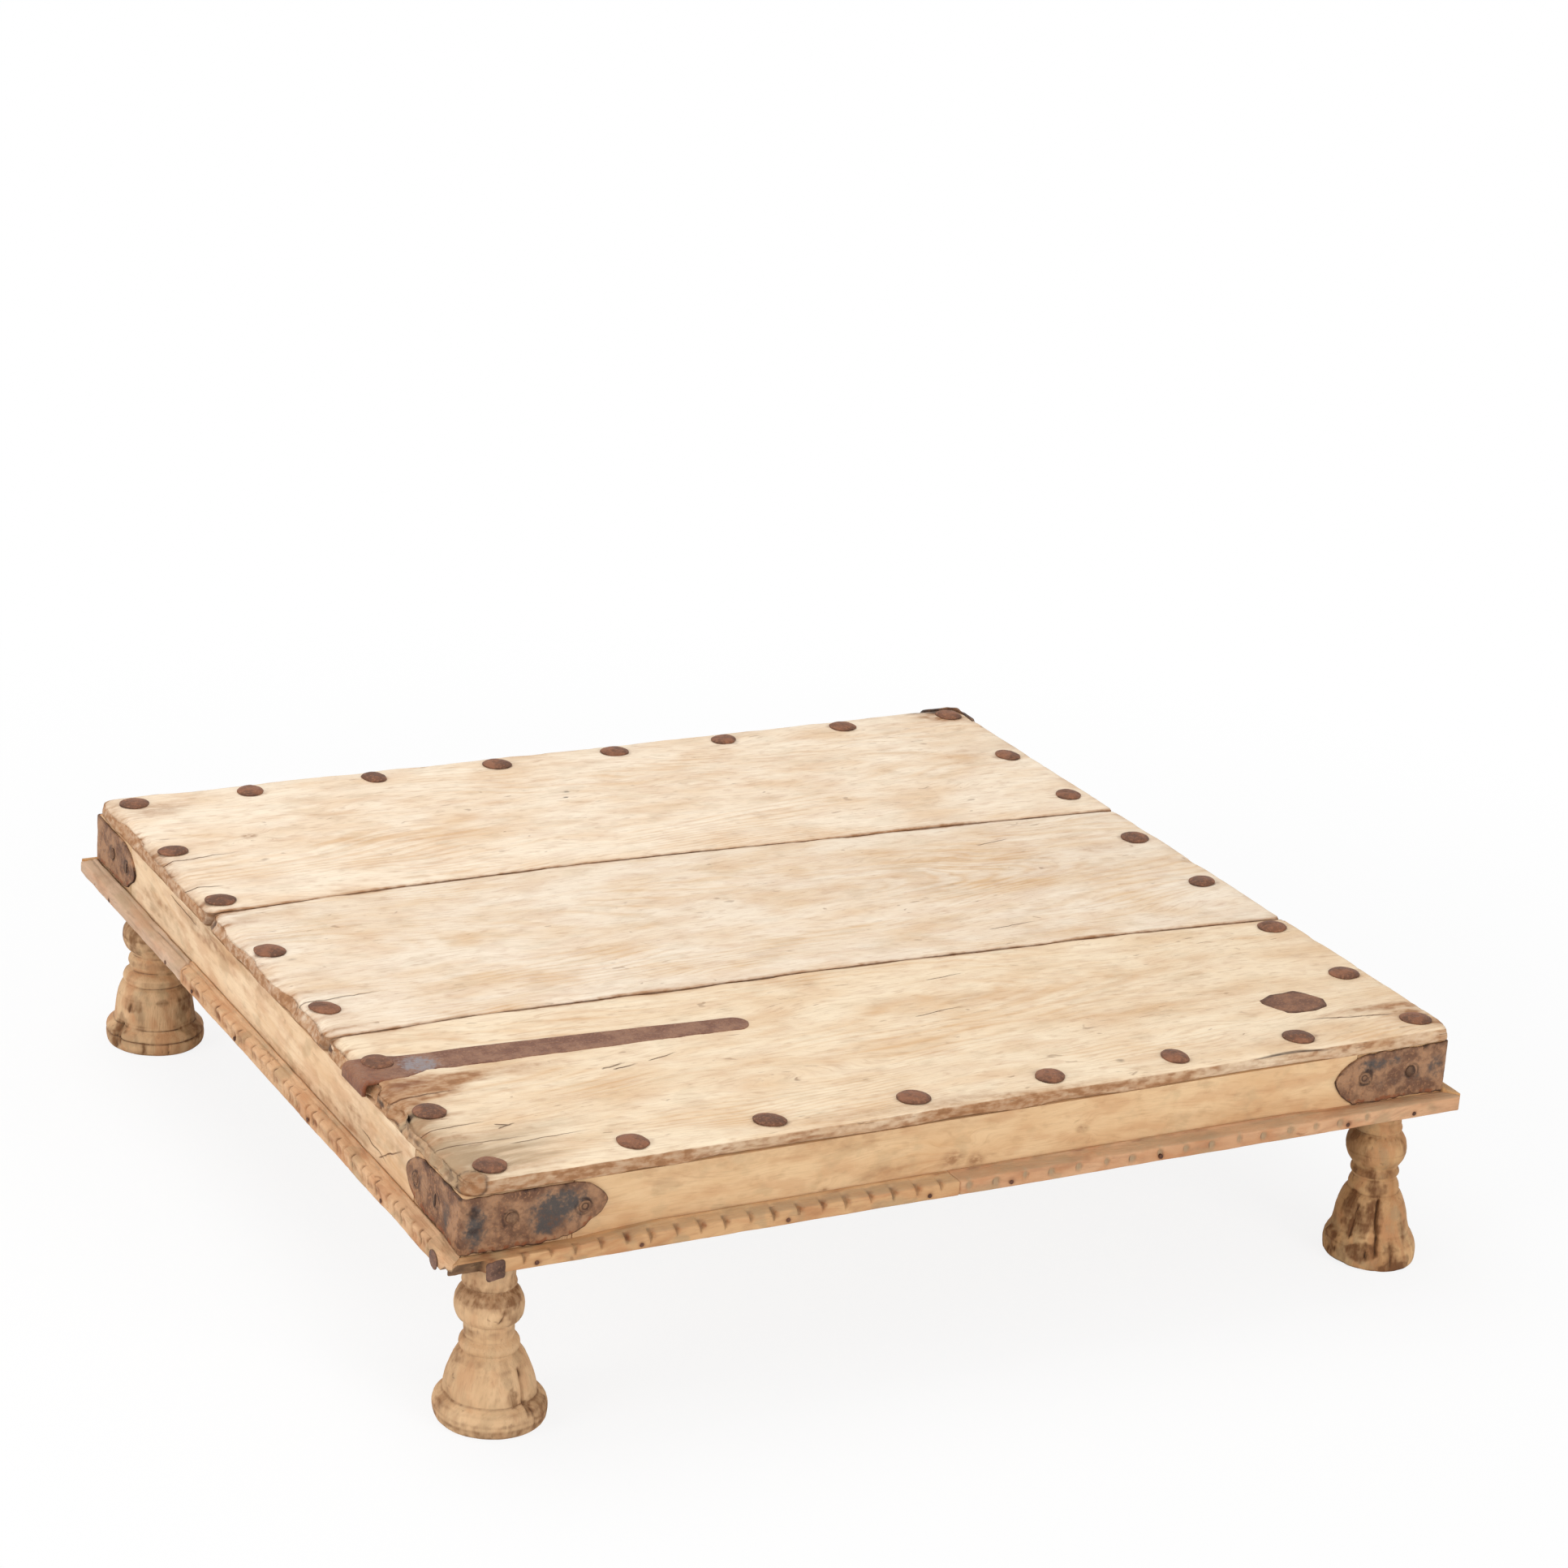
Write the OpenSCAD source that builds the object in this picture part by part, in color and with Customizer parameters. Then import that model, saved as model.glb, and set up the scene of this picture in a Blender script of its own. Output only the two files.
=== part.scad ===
// Low coffee table: a plank top nailed to a shallow frame on four turned legs.
// X runs along the planks and Y across them. The near side is -Y and the left side is -X.
// Z is up from the floor, and the origin is on the floor at the middle of the table.

/* [Top] */
// Length of the top, along the planks
top_l = 750; // [680:1:820]
// Width of the top, across the planks
top_w = 704; // [640:1:770]
// Thickness of the planks
plank_t = 11.5; // [9:0.5:16]
// Gap left between neighbouring planks
seam_gap = 1.2; // [0.6:0.1:3]
// Radius of the worn corners of the top
corner_r = 12; // [4:1:20]

/* [Frame] */
// Height of the planks' underside above the floor
frame_top_z = 175; // [165:1:190]
// Height of the rails, from the foot of the moulding to the planks
rail_h = 50; // [44:1:60]
// Thickness of the rails
rail_t = 28; // [24:1:34]
// How far the top stands out past the rails
overhang = 2; // [2:0.5:6]
// Width of the square block at the head of each leg
post_w = 76; // [72:1:84]
// Length of the tenons on the rails
tenon_l = 30; // [20:1:36]

/* [Legs] */
// Radius of the foot's rim
rim_r = 36.8; // [34:0.1:38]
// Radius of the worn rim of the right leg
worn_rim_r = 33.4; // [31:0.1:36]
// Radius of the ball under the neck
ball_r = 22.5; // [20:0.5:25]
// How far the right leg is turned off the middle of its block
right_leg_shift = 14; // [0:1:16]

/* [Moulding] */
// How far the moulding stands out past the rails
mould_out = 12; // [9:0.5:16]
// Height of the moulding against the rails
mould_h = 14; // [12:0.5:16]
// Distance between the carved notches
notch_pitch = 18.5; // [14:0.5:28]

/* [Iron] */
// Thickness of the corner straps
strap_t = 2; // [1.5:0.1:2]
// Length of a strap's arm on the near and far sides
strap_arm_x = 100; // [84:1:110]
// Length of a strap's arm on the left and right sides
strap_arm_y = 88; // [84:1:110]
// Diameter of the domed heads of the top nails
nail_head_d = 23; // [18:0.5:26]
// Height of the domed heads above the planks
nail_head_h = 3; // [2:0.5:5]
// Diameter of the top nails' shanks
nail_shank_d = 4.6; // [4:0.2:6]
// Length of the top nails below their heads
nail_len = 36; // [30:1:40]

/* [Hidden] */
$fn = 48;

// Frame sizes that follow from the top
frame_x = top_l / 2 - overhang;
frame_y = top_w / 2 - overhang;
top_z = frame_top_z + plank_t;
rail_z = frame_top_z - rail_h;
post_x = frame_x - post_w / 2;
post_y = frame_y - post_w / 2;
tenon_t = 10;
tenon_h = 32;
mould_x = frame_x + mould_out;
mould_y = frame_y + mould_out;
mould_z = rail_z + mould_h;
notch_w = 3.4;
notch_drop = 7.5;
notch_deep = 1.8;
notch_margin = 54;
joint_margin = 11;
notch_below = 2.4;
reach = 2;
round_fn = 96;

// Seams between the planks as heights across the top: left end, middle and right end
seam_1 = [113, 117, 98];
seam_2 = [-117, -119, -139];
half_gap = [1, 1, 1] * seam_gap / 2;

// Nails along each side: even spacing, and how far each one drifts from it as it was set by eye
nail_inset = 20;
nails_a_side = 8;
far_nails_out = 2;
end_nails_out = 1;
near_drift = [3, 4.5, 0.5, 5, 8, 5.5, 5, 2];
far_drift = [4, -4.5, -4, -1.5, -0.5, -4, 4.5, 3];
left_drift = [12.5, 24, 25.5, 15.5, 11, 5];
right_drift = [9, 11.5, 11.5, 10.5, 6, 5];
half_nails_x = top_l / 2 - nail_inset;
half_nails_y = top_w / 2 - nail_inset;
near_nails_x = [for (i = [0 : 7]) even(i, half_nails_x) + near_drift[i]];
far_nails_x = [for (i = [0 : 7]) even(i, half_nails_x) + far_drift[i]];
left_nails_y = [for (i = [0 : 5]) even(i + 1, half_nails_y) - left_drift[i]];
right_nails_y = [for (i = [0 : 5]) even(i + 1, half_nails_y) - right_drift[i]];
near_nails_y = -half_nails_y;
far_nails_y = half_nails_y + far_nails_out;
left_nails_x = -half_nails_x - end_nails_out;
right_nails_x = half_nails_x + end_nails_out;

// Straps: the arms end in a pointed arch
strap_h = frame_top_z - mould_z;
strap_mid_z = (frame_top_z + mould_z) / 2;
arch_l = 30;
arch_r = (arch_l * arch_l + strap_h * strap_h / 4) / strap_h;
ear_l = 32;

// Places of the strap nails, measured from the frame's corner
strap_nails_x = [33, 83];
strap_nails_y = [38, 70];
strap_nail_d = 3.4;
strap_nail_head_d = 9;
strap_nail_head_h = 1.2;
strap_nail_len = 22;

// Repair bar, let in flush with the near plank and bent down over its left end
bar_t = 2.4;
bar_bend_h = 10;
bar_end_y = [-195, -157];
bar_left = -top_l / 2;
bar_tip = [bar_left + 271, -185.4];
bar_tip_r = 10.6;
bar_points = [
    [-strap_t, bar_end_y[1]], [23, bar_end_y[1]], [37, -161.5], [271, -174.8],
    [271, -196], [45, -189.5], [29, bar_end_y[0]], [-strap_t, bar_end_y[0]]
];
bar_pins_xy = [[bar_left + 75, -176], [bar_left + 165, -180.5], [bar_left + 257, -185]];

// Patch plate, let in flush with the near plank close to the right corner
patch_t = 1.8;
patch_at = [top_l / 2, -top_w / 2];
patch_points = [
    [-107, 80], [-94, 89], [-73, 89], [-68, 85], [-61, 71], [-66, 60], [-78, 55], [-95, 56], [-101, 60]
];
patch_pins_xy = [patch_at + [-91, 77], patch_at + [-76, 66]];
small_pin_d = 3;
small_pin_len = 9;

// Moulding pins, driven through the moulding into the rails
pin_d = 3;
pin_len = 24;
pin_z = rail_z + 3.5;
near_pins_x = [-0.874, -0.68, -0.4, -0.12, 0.046, 0.36, 0.77, 0.92] * frame_x;
far_pins_x = [-0.83, -0.51, -0.16, 0.19, 0.54, 0.86] * frame_x;
left_pins_y = [-0.71, -0.34, 0.06, 0.31, 0.47, 0.83] * frame_y;
right_pins_y = [-0.86, -0.49, -0.11, 0.26, 0.6, 0.89] * frame_y;
mould_joint_x = -27;
mould_joint_y = 139;
joint_slant = 5;

// Two large nails at the broken near corner, placed by how far in from the frame's corner and how far up
big_head_d = 13;
big_head_h = 1.4;
big_shank_d = 4;
big_shank_len = 20;
left_big_nail = [14, 6.5];
near_big_nail = [22, 5];

// The break in the end of the near moulding
broken_l = 26;
broken_deep = 8;
broken_h = 9.5;

// Place of nail i of a side whose corner nails are this far from the middle
function even(i, half) = -half + 2 * half * i / (nails_a_side - 1);

module domed_nail(head_d, head_h, shank_d, shank_len) {
    dome_r = (head_d * head_d / 4 + head_h * head_h) / (2 * head_h);
    rotate_extrude() {
        intersection() {
            translate([0, head_h - dome_r]) circle(r = dome_r, $fn = round_fn);
            square([head_d / 2, head_h]);
        }
    }
    translate([0, 0, -shank_len]) cylinder(h = shank_len, d = shank_d);
}

module top_nail_shanks() {
    for (x = near_nails_x) shank_at(x, near_nails_y);
    for (x = far_nails_x) shank_at(x, far_nails_y);
    for (y = left_nails_y) shank_at(left_nails_x, y);
    for (y = right_nails_y) shank_at(right_nails_x, y);
}

module shank_at(x, y) {
    translate([x, y, top_z - nail_len]) cylinder(h = nail_len, d = nail_shank_d);
}

// Outline of the whole top with its worn round corners
module top_outline() {
    square([top_l - 2 * corner_r, top_w], center = true);
    square([top_l, top_w - 2 * corner_r], center = true);
    for (sx = [-1, 1], sy = [-1, 1]) {
        translate([sx * (top_l / 2 - corner_r), sy * (top_w / 2 - corner_r)]) circle(r = corner_r);
    }
}

// The strip of the top between two seams, each given at the left end, the middle and the right end
module plank(low, high) {
    intersection() {
        translate([0, 0, frame_top_z]) linear_extrude(plank_t) top_outline();
        translate([0, 0, frame_top_z - reach]) linear_extrude(plank_t + 2 * reach) polygon([
            [-top_l / 2 - reach, low[0]], [0, low[1]], [top_l / 2 + reach, low[2]],
            [top_l / 2 + reach, high[2]], [0, high[1]], [-top_l / 2 - reach, high[0]]
        ]);
    }
}

module plank_far() {
    color("#e6cda3") difference() {
        plank(seam_1 + half_gap, [1, 1, 1] * (top_w / 2 + reach));
        top_nail_shanks();
        back_ear();
    }
}

module plank_middle() {
    color("#e8d0a8") difference() {
        plank(seam_2 + half_gap, seam_1 - half_gap);
        top_nail_shanks();
    }
}

module plank_near() {
    color("#e6cda3") difference() {
        plank([-1, -1, -1] * (top_w / 2 + reach), seam_2 - half_gap);
        top_nail_shanks();
        bar_body();
        pins_at(bar_pins_xy);
        patch_body();
        pins_at(patch_pins_xy);
    }
}

// A rail along X with a tenon at each end; turned about Z for the left and right sides
module rail(half_l, face) {
    translate([-half_l, -face, rail_z]) cube([2 * half_l, rail_t, rail_h]);
    tenon_bar(half_l, face);
}

module rail_near() {
    color("#dcb983") difference() {
        rail(frame_x - post_w, frame_y);
        top_nail_shanks();
        strap_nail_shanks();
        moulding_pin_shanks();
    }
}

module rail_far() {
    color("#dcb983") difference() {
        rotate([0, 0, 180]) rail(frame_x - post_w, frame_y);
        top_nail_shanks();
        strap_nail_shanks();
        moulding_pin_shanks();
    }
}

module rail_left() {
    color("#dcb983") difference() {
        rotate([0, 0, -90]) rail(frame_y - post_w, frame_x);
        top_nail_shanks();
        strap_nail_shanks();
        moulding_pin_shanks();
    }
}

module rail_right() {
    color("#dcb983") difference() {
        rotate([0, 0, 90]) rail(frame_y - post_w, frame_x);
        top_nail_shanks();
        strap_nail_shanks();
        moulding_pin_shanks();
    }
}

// Points of an arc in a leg's outline, as radius and height
function arc(r0, z0, r, from, to, steps) =
    [for (i = [0 : steps]) let (a = from + (to - from) * i / steps) [r0 + r * cos(a), z0 + r * sin(a)]];

// Outline of a turned leg: foot, bell, ring, bead, ball, neck and the flare under the block
function leg_outline(rim) = concat(
    [[0, 0], [rim - 2.3, 0], [rim - 0.6, 2], [rim, 5], [rim, 11], [rim - 0.9, 12], [rim - 0.9, 13]],
    [[rim - 2.4, 16.5], [rim - 5.3, 19.4], [rim - 6.6, 20.6]],
    [[rim - 7.4, 26], [rim - 8.8, 32], [rim - 10.8, 38], [23.6, 43.5], [21.6, 47], [20, 48.6]],
    [[19.3, 49.3], [19.9, 50.4], [19.6, 53], [18.2, 55.6], [16, 57]],
    arc(14.8, 61.6, 3, -70, 70, 6),
    [[15.6, 65.6]],
    arc(ball_r - 13.5, 79.2, 13.5, -62, 62, 10),
    [[15.6, 92.6], [17.4, 93.6], [17.8, 96], [16.6, 98.6], [16.8, 104], [19, 110]],
    [[23, 114.5], [26, 116.5], [27, 119], [26, 121.6], [22, 123], [22, rail_z + reach], [0, rail_z + reach]]
);

module leg(sx, sy, rim, shift) {
    difference() {
        union() {
            translate([sx * post_x - post_w / 2, sy * post_y - post_w / 2, rail_z])
                cube([post_w, post_w, rail_h]);
            translate([sx * post_x + shift, sy * post_y, 0]) rotate_extrude() polygon(leg_outline(rim));
        }
        for (turn = [0, 180]) rotate([0, 0, turn]) tenon_bar(frame_x - post_w, frame_y);
        for (turn = [-90, 90]) rotate([0, 0, turn]) tenon_bar(frame_y - post_w, frame_x);
        top_nail_shanks();
        strap_nail_shanks();
        moulding_pin_shanks();
        corner_nail_shanks();
    }
}

// A bar whose ends are the two tenons of a rail
module tenon_bar(half_l, face) {
    translate([-half_l - tenon_l, -face + (rail_t - tenon_t) / 2, rail_z + (rail_h - tenon_h) / 2])
        cube([2 * (half_l + tenon_l), tenon_t, tenon_h]);
}

module leg_near() {
    color("#c39a6b") leg(-1, -1, rim_r, 0);
}

module leg_right() {
    color("#b98f5f") leg(1, -1, worn_rim_r, right_leg_shift);
}

module leg_left() {
    color("#bd9566") leg(-1, 1, rim_r, 0);
}

module leg_back() {
    color("#bd9566") leg(1, 1, rim_r, 0);
}

// Cross-section of the moulding: distance out from the rail, and height
module moulding_section() {
    polygon([
        [0, rail_z], [mould_out - 1.5, rail_z], [mould_out, rail_z + 1.5], [mould_out, mould_z - 4],
        [mould_out - 1, mould_z - 2.6], [3, mould_z - 0.8], [3, mould_z], [0, mould_z]
    ]);
}

// A length of moulding on the near side between two places, with the slant of each end
module moulding_plain(face, from, to, slant_from, slant_to) {
    k = reach / mould_out;
    intersection() {
        translate([from - 2 * mould_out, -face, 0]) rotate([90, 0, 90])
            mirror([1, 0, 0]) linear_extrude(to - from + 4 * mould_out) moulding_section();
        translate([0, 0, rail_z - reach]) linear_extrude(mould_h + 2 * reach) polygon([
            [from - slant_from * k, -face + reach], [to - slant_to * k, -face + reach],
            [to + slant_to * (1 + k), -face - mould_out - reach],
            [from + slant_from * (1 + k), -face - mould_out - reach]
        ]);
    }
}

// A row of notches cut down from the moulding's upper edge
module notches(face, from, to) {
    count = floor((to - from) / notch_pitch);
    for (i = [0 : count]) {
        translate([from + i * notch_pitch, -face - mould_out + notch_deep, mould_z - notch_below])
            rotate([90, 0, 0]) linear_extrude(notch_deep + reach)
                polygon([[-notch_w / 2, 0], [notch_w / 2, 0], [0, -notch_drop]]);
    }
}

module moulding_near_a() {
    color("#c99f6c") difference() {
        moulding_plain(frame_y, -frame_x, mould_joint_x, -mould_out, joint_slant);
        notches(frame_y, -frame_x + notch_margin, mould_joint_x - joint_margin);
        translate([-mould_x - reach, -mould_y - reach, rail_z - reach])
            cube([broken_l + reach, broken_deep + reach, broken_h + reach]);
        moulding_pin_shanks();
        corner_nail_shanks();
    }
}

module moulding_near_b() {
    color("#c79c76") difference() {
        moulding_plain(frame_y, mould_joint_x, frame_x, joint_slant, mould_out);
        notches(frame_y, mould_joint_x + joint_margin, frame_x - notch_margin);
        moulding_pin_shanks();
    }
}

module moulding_left_a() {
    color("#b3977c") difference() {
        rotate([0, 0, -90]) moulding_plain(frame_x, -frame_y, -mould_joint_y, -mould_out, joint_slant);
        moulding_pin_shanks();
    }
}

module moulding_left_b() {
    color("#c39868") difference() {
        rotate([0, 0, -90]) moulding_plain(frame_x, -mould_joint_y, frame_y, joint_slant, mould_out);
        rotate([0, 0, -90]) notches(frame_x, -mould_joint_y + joint_margin, frame_y - notch_margin);
        moulding_pin_shanks();
        corner_nail_shanks();
    }
}

module moulding_far() {
    color("#c79c76") difference() {
        rotate([0, 0, 180]) moulding_plain(frame_y, -frame_x, frame_x, -mould_out, mould_out);
        rotate([0, 0, 180]) notches(frame_y, -frame_x + notch_margin, frame_x - notch_margin);
        moulding_pin_shanks();
    }
}

module moulding_right() {
    color("#c79c76") difference() {
        rotate([0, 0, 90]) moulding_plain(frame_x, -frame_y, frame_y, -mould_out, mould_out);
        rotate([0, 0, 90]) notches(frame_x, -frame_y + notch_margin, frame_y - notch_margin);
        moulding_pin_shanks();
    }
}

// Outline of a strap's arm, lying along X from the corner, with a pointed arch at its end
module arm_outline(arm_l) {
    arch_x = arm_l - arch_l;
    difference() {
        square([arm_l, strap_h]);
        difference() {
            translate([arch_x, strap_h / 2]) square([arch_l + reach, strap_h / 2 + reach]);
            translate([arch_x, strap_h - arch_r]) circle(r = arch_r, $fn = round_fn);
        }
        difference() {
            translate([arch_x, -reach]) square([arch_l + reach, strap_h / 2 + reach]);
            translate([arch_x, arch_r]) circle(r = arch_r, $fn = round_fn);
        }
    }
}

// One strap, made for the near corner and mirrored to the others
module strap_near_corner() {
    translate([-frame_x - strap_t, -frame_y, mould_z]) rotate([90, 0, 0])
        linear_extrude(strap_t) arm_outline(strap_arm_x + strap_t);
    translate([-frame_x - strap_t, -frame_y - strap_t, mould_z]) rotate([90, 0, 90])
        linear_extrude(strap_t) arm_outline(strap_arm_y + strap_t);
}

// The back strap stands up past the planks at its corner
module back_ear() {
    difference() {
        translate([frame_x + strap_t - ear_l, frame_y + strap_t - ear_l, frame_top_z])
            cube([ear_l, ear_l, plank_t]);
        translate([frame_x - ear_l - reach, frame_y - ear_l - reach, frame_top_z - reach])
            cube([ear_l + reach, ear_l + reach, plank_t + 2 * reach]);
    }
}

module to_corner(sx, sy) {
    mirror([sx > 0 ? 1 : 0, 0, 0]) mirror([0, sy > 0 ? 1 : 0, 0]) children();
}

// Puts its children on each strap nail of one corner, facing into the wood
module at_strap_nails(sx, sy) {
    to_corner(sx, sy) {
        for (d = strap_nails_x) {
            translate([-frame_x + d, -frame_y - strap_t, strap_mid_z]) rotate([90, 0, 0]) children();
        }
        for (d = strap_nails_y) {
            translate([-frame_x - strap_t, -frame_y + d, strap_mid_z]) rotate([0, -90, 0]) children();
        }
    }
}

module strap_nail_shanks() {
    for (sx = [-1, 1], sy = [-1, 1]) at_strap_nails(sx, sy)
        translate([0, 0, -strap_nail_len]) cylinder(h = strap_nail_len, d = strap_nail_d);
}

module strap_nail_set(sx, sy) {
    color("#6d4a3a") at_strap_nails(sx, sy)
        domed_nail(strap_nail_head_d, strap_nail_head_h, strap_nail_d, strap_nail_len);
}

module strap(sx, sy) {
    difference() {
        to_corner(sx, sy) strap_near_corner();
        strap_nail_shanks();
    }
}

module strap_near() {
    color("#6b4a3d") strap(-1, -1);
}

module strap_right() {
    color("#6b4a3d") strap(1, -1);
}

module strap_left() {
    color("#6b4a3d") strap(-1, 1);
}

module strap_back() {
    color("#6b4a3d") union() {
        strap(1, 1);
        back_ear();
    }
}

module strap_nails_near() {
    strap_nail_set(-1, -1);
}

module strap_nails_right() {
    strap_nail_set(1, -1);
}

module strap_nails_left() {
    strap_nail_set(-1, 1);
}

module strap_nails_back() {
    strap_nail_set(1, 1);
}

module top_nail(x, y) {
    color("#7a5142") translate([x, y, top_z]) domed_nail(nail_head_d, nail_head_h, nail_shank_d, nail_len);
}

module top_nails_near() {
    for (x = near_nails_x) top_nail(x, near_nails_y);
}

module top_nails_far() {
    for (x = far_nails_x) top_nail(x, far_nails_y);
}

module top_nails_left() {
    for (y = left_nails_y) top_nail(left_nails_x, y);
}

module top_nails_right() {
    for (y = right_nails_y) top_nail(right_nails_x, y);
}

// The bar's flat outline, from its bent end to its round tip
module bar_outline() {
    translate([bar_left, 0]) polygon(bar_points);
    translate(bar_tip) circle(r = bar_tip_r);
}

module bar_body() {
    translate([0, 0, top_z - bar_t]) linear_extrude(bar_t) bar_outline();
    translate([bar_left - strap_t, bar_end_y[0], top_z - bar_bend_h])
        cube([bar_t, bar_end_y[1] - bar_end_y[0], bar_bend_h]);
}

module repair_bar() {
    color("#7a5346") difference() {
        bar_body();
        top_nail_shanks();
        pins_at(bar_pins_xy);
    }
}

// Small pins, filed flush with the plate that they hold
module pins_at(places) {
    for (p = places) translate([p[0], p[1], top_z - small_pin_len])
        cylinder(h = small_pin_len, d = small_pin_d);
}

module bar_pins() {
    color("#5f4236") pins_at(bar_pins_xy);
}

module patch_body() {
    translate([0, 0, top_z - patch_t]) linear_extrude(patch_t) translate(patch_at) polygon(patch_points);
}

module patch_plate() {
    color("#70493c") difference() {
        patch_body();
        pins_at(patch_pins_xy);
    }
}

module patch_pins() {
    color("#5f4236") pins_at(patch_pins_xy);
}

module moulding_pin_shanks() {
    for (x = near_pins_x) translate([x, -mould_y, pin_z]) rotate([-90, 0, 0]) pin();
    for (x = far_pins_x) translate([x, mould_y, pin_z]) rotate([90, 0, 0]) pin();
    for (y = left_pins_y) translate([-mould_x, y, pin_z]) rotate([0, 90, 0]) pin();
    for (y = right_pins_y) translate([mould_x, y, pin_z]) rotate([0, -90, 0]) pin();
}

module pin() {
    cylinder(h = pin_len, d = pin_d);
}

module moulding_pins() {
    color("#4d342a") moulding_pin_shanks();
}

// Puts its children on the two large nails by the broken end of the near moulding
module at_corner_nails() {
    translate([-mould_x, -frame_y + left_big_nail[0], rail_z + left_big_nail[1]])
        rotate([0, -90, 0]) children();
    translate([-frame_x + near_big_nail[0], -mould_y, rail_z + near_big_nail[1]])
        rotate([90, 0, 0]) children();
}

module corner_nail_shanks() {
    at_corner_nails() translate([0, 0, -big_shank_len]) cylinder(h = big_shank_len, d = big_shank_d);
}

module corner_nails() {
    color("#5d4336") at_corner_nails() domed_nail(big_head_d, big_head_h, big_shank_d, big_shank_len);
}

plank_far();
plank_middle();
plank_near();
rail_near();
rail_far();
rail_left();
rail_right();
leg_near();
leg_right();
leg_left();
leg_back();
moulding_near_a();
moulding_near_b();
moulding_left_a();
moulding_left_b();
moulding_far();
moulding_right();
strap_near();
strap_right();
strap_left();
strap_back();
strap_nails_near();
strap_nails_right();
strap_nails_left();
strap_nails_back();
top_nails_near();
top_nails_far();
top_nails_left();
top_nails_right();
repair_bar();
bar_pins();
patch_plate();
patch_pins();
moulding_pins();
corner_nails();
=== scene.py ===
# Low coffee table: three scrubbed planks nailed to a shallow frame on four turned legs.
# Sizes are in millimetres until a mesh is made. X runs along the planks, Y across them, Z up from the floor.
import math
import bpy
import numpy as np
from mathutils import Matrix, Vector


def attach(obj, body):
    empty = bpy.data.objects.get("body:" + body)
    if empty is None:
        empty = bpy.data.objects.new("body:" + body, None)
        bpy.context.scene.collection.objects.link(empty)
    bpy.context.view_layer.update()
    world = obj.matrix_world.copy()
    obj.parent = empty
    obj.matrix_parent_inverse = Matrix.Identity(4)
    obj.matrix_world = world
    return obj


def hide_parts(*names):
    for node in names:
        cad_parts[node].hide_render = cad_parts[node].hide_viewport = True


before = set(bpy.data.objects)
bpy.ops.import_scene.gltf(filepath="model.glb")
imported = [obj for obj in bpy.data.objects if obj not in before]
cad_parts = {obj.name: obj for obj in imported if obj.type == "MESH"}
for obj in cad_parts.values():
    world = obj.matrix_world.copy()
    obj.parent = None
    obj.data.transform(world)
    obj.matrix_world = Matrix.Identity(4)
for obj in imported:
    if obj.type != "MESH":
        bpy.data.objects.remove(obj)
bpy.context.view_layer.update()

# The camera stands low in front of the near corner, with a long lens.
yaw, pitch, roll = math.radians(-28.758), math.radians(19.977), math.radians(4.046)
back = Vector((math.sin(yaw) * math.cos(pitch), -math.cos(yaw) * math.cos(pitch), math.sin(pitch)))
level = (-back).cross(Vector((0, 0, 1))).normalized()
upright = level.cross(-back)
across = math.cos(roll) * level + math.sin(roll) * upright
upward = -math.sin(roll) * level + math.cos(roll) * upright
camera = bpy.data.objects.new("camera", bpy.data.cameras.new("camera"))
bpy.context.scene.collection.objects.link(camera)
camera.data.sensor_width = 36
camera.data.lens = 93.395
camera.data.clip_start = 0.05
camera.matrix_world = Matrix.Translation((-1.304534, -2.419828, 1.283409)) @ Matrix(
    (across, upward, back)).transposed().to_4x4()
bpy.context.scene.camera = camera
bpy.context.scene.view_settings.view_transform = "Standard"


# A white studio: an even white sky, a broad soft lamp overhead and two weaker ones from the sides.
def lamp(name, place, size, watts):
    light = bpy.data.lights.new(name, "AREA")
    light.shape = "DISK"
    light.size = size
    light.energy = watts
    holder = bpy.data.objects.new(name, light)
    holder.location = place
    holder.rotation_euler = (Vector((0, 0, 0.1)) - Vector(place)).to_track_quat("-Z", "Y").to_euler()
    bpy.context.scene.collection.objects.link(holder)


lamp("overhead", (-0.5, 0.7, 2.6), 2.2, 31)
lamp("front", (0.9, -3.0, 1.1), 1.6, 36)
lamp("side", (-3.0, -0.6, 1.2), 1.6, 38)


class Wire:
    """One output of a node. Its operators add the Math nodes of an expression on plain values."""

    def __init__(self, finish, socket):
        self.finish = finish
        self.socket = socket

    def math(self, operation, *others):
        return self.finish.node("Math", {"operation": operation}, dict(enumerate(others)))

    def __add__(self, other):
        return self.math("ADD", self, other)

    def __sub__(self, other):
        return self.math("SUBTRACT", self, other)

    def __rsub__(self, other):
        return self.math("SUBTRACT", other, self)

    def __mul__(self, other):
        return self.math("MULTIPLY", self, other)

    def __truediv__(self, other):
        return self.math("DIVIDE", self, other)

    def __pow__(self, other):
        return self.math("POWER", self, other)

    def __abs__(self):
        return self.math("ABSOLUTE", self)

    __radd__ = __add__
    __rmul__ = __mul__

    def sine(self):
        return self.math("SINE", self)

    def most(self, other):
        return self.math("MAXIMUM", self, other)

    def between(self, start, end):
        """0 up to start, 1 from end on, with a soft step between."""
        return self.finish.node("MapRange", {"interpolation_type": "SMOOTHSTEP"}, {0: self, 1: start, 2: end})


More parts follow.
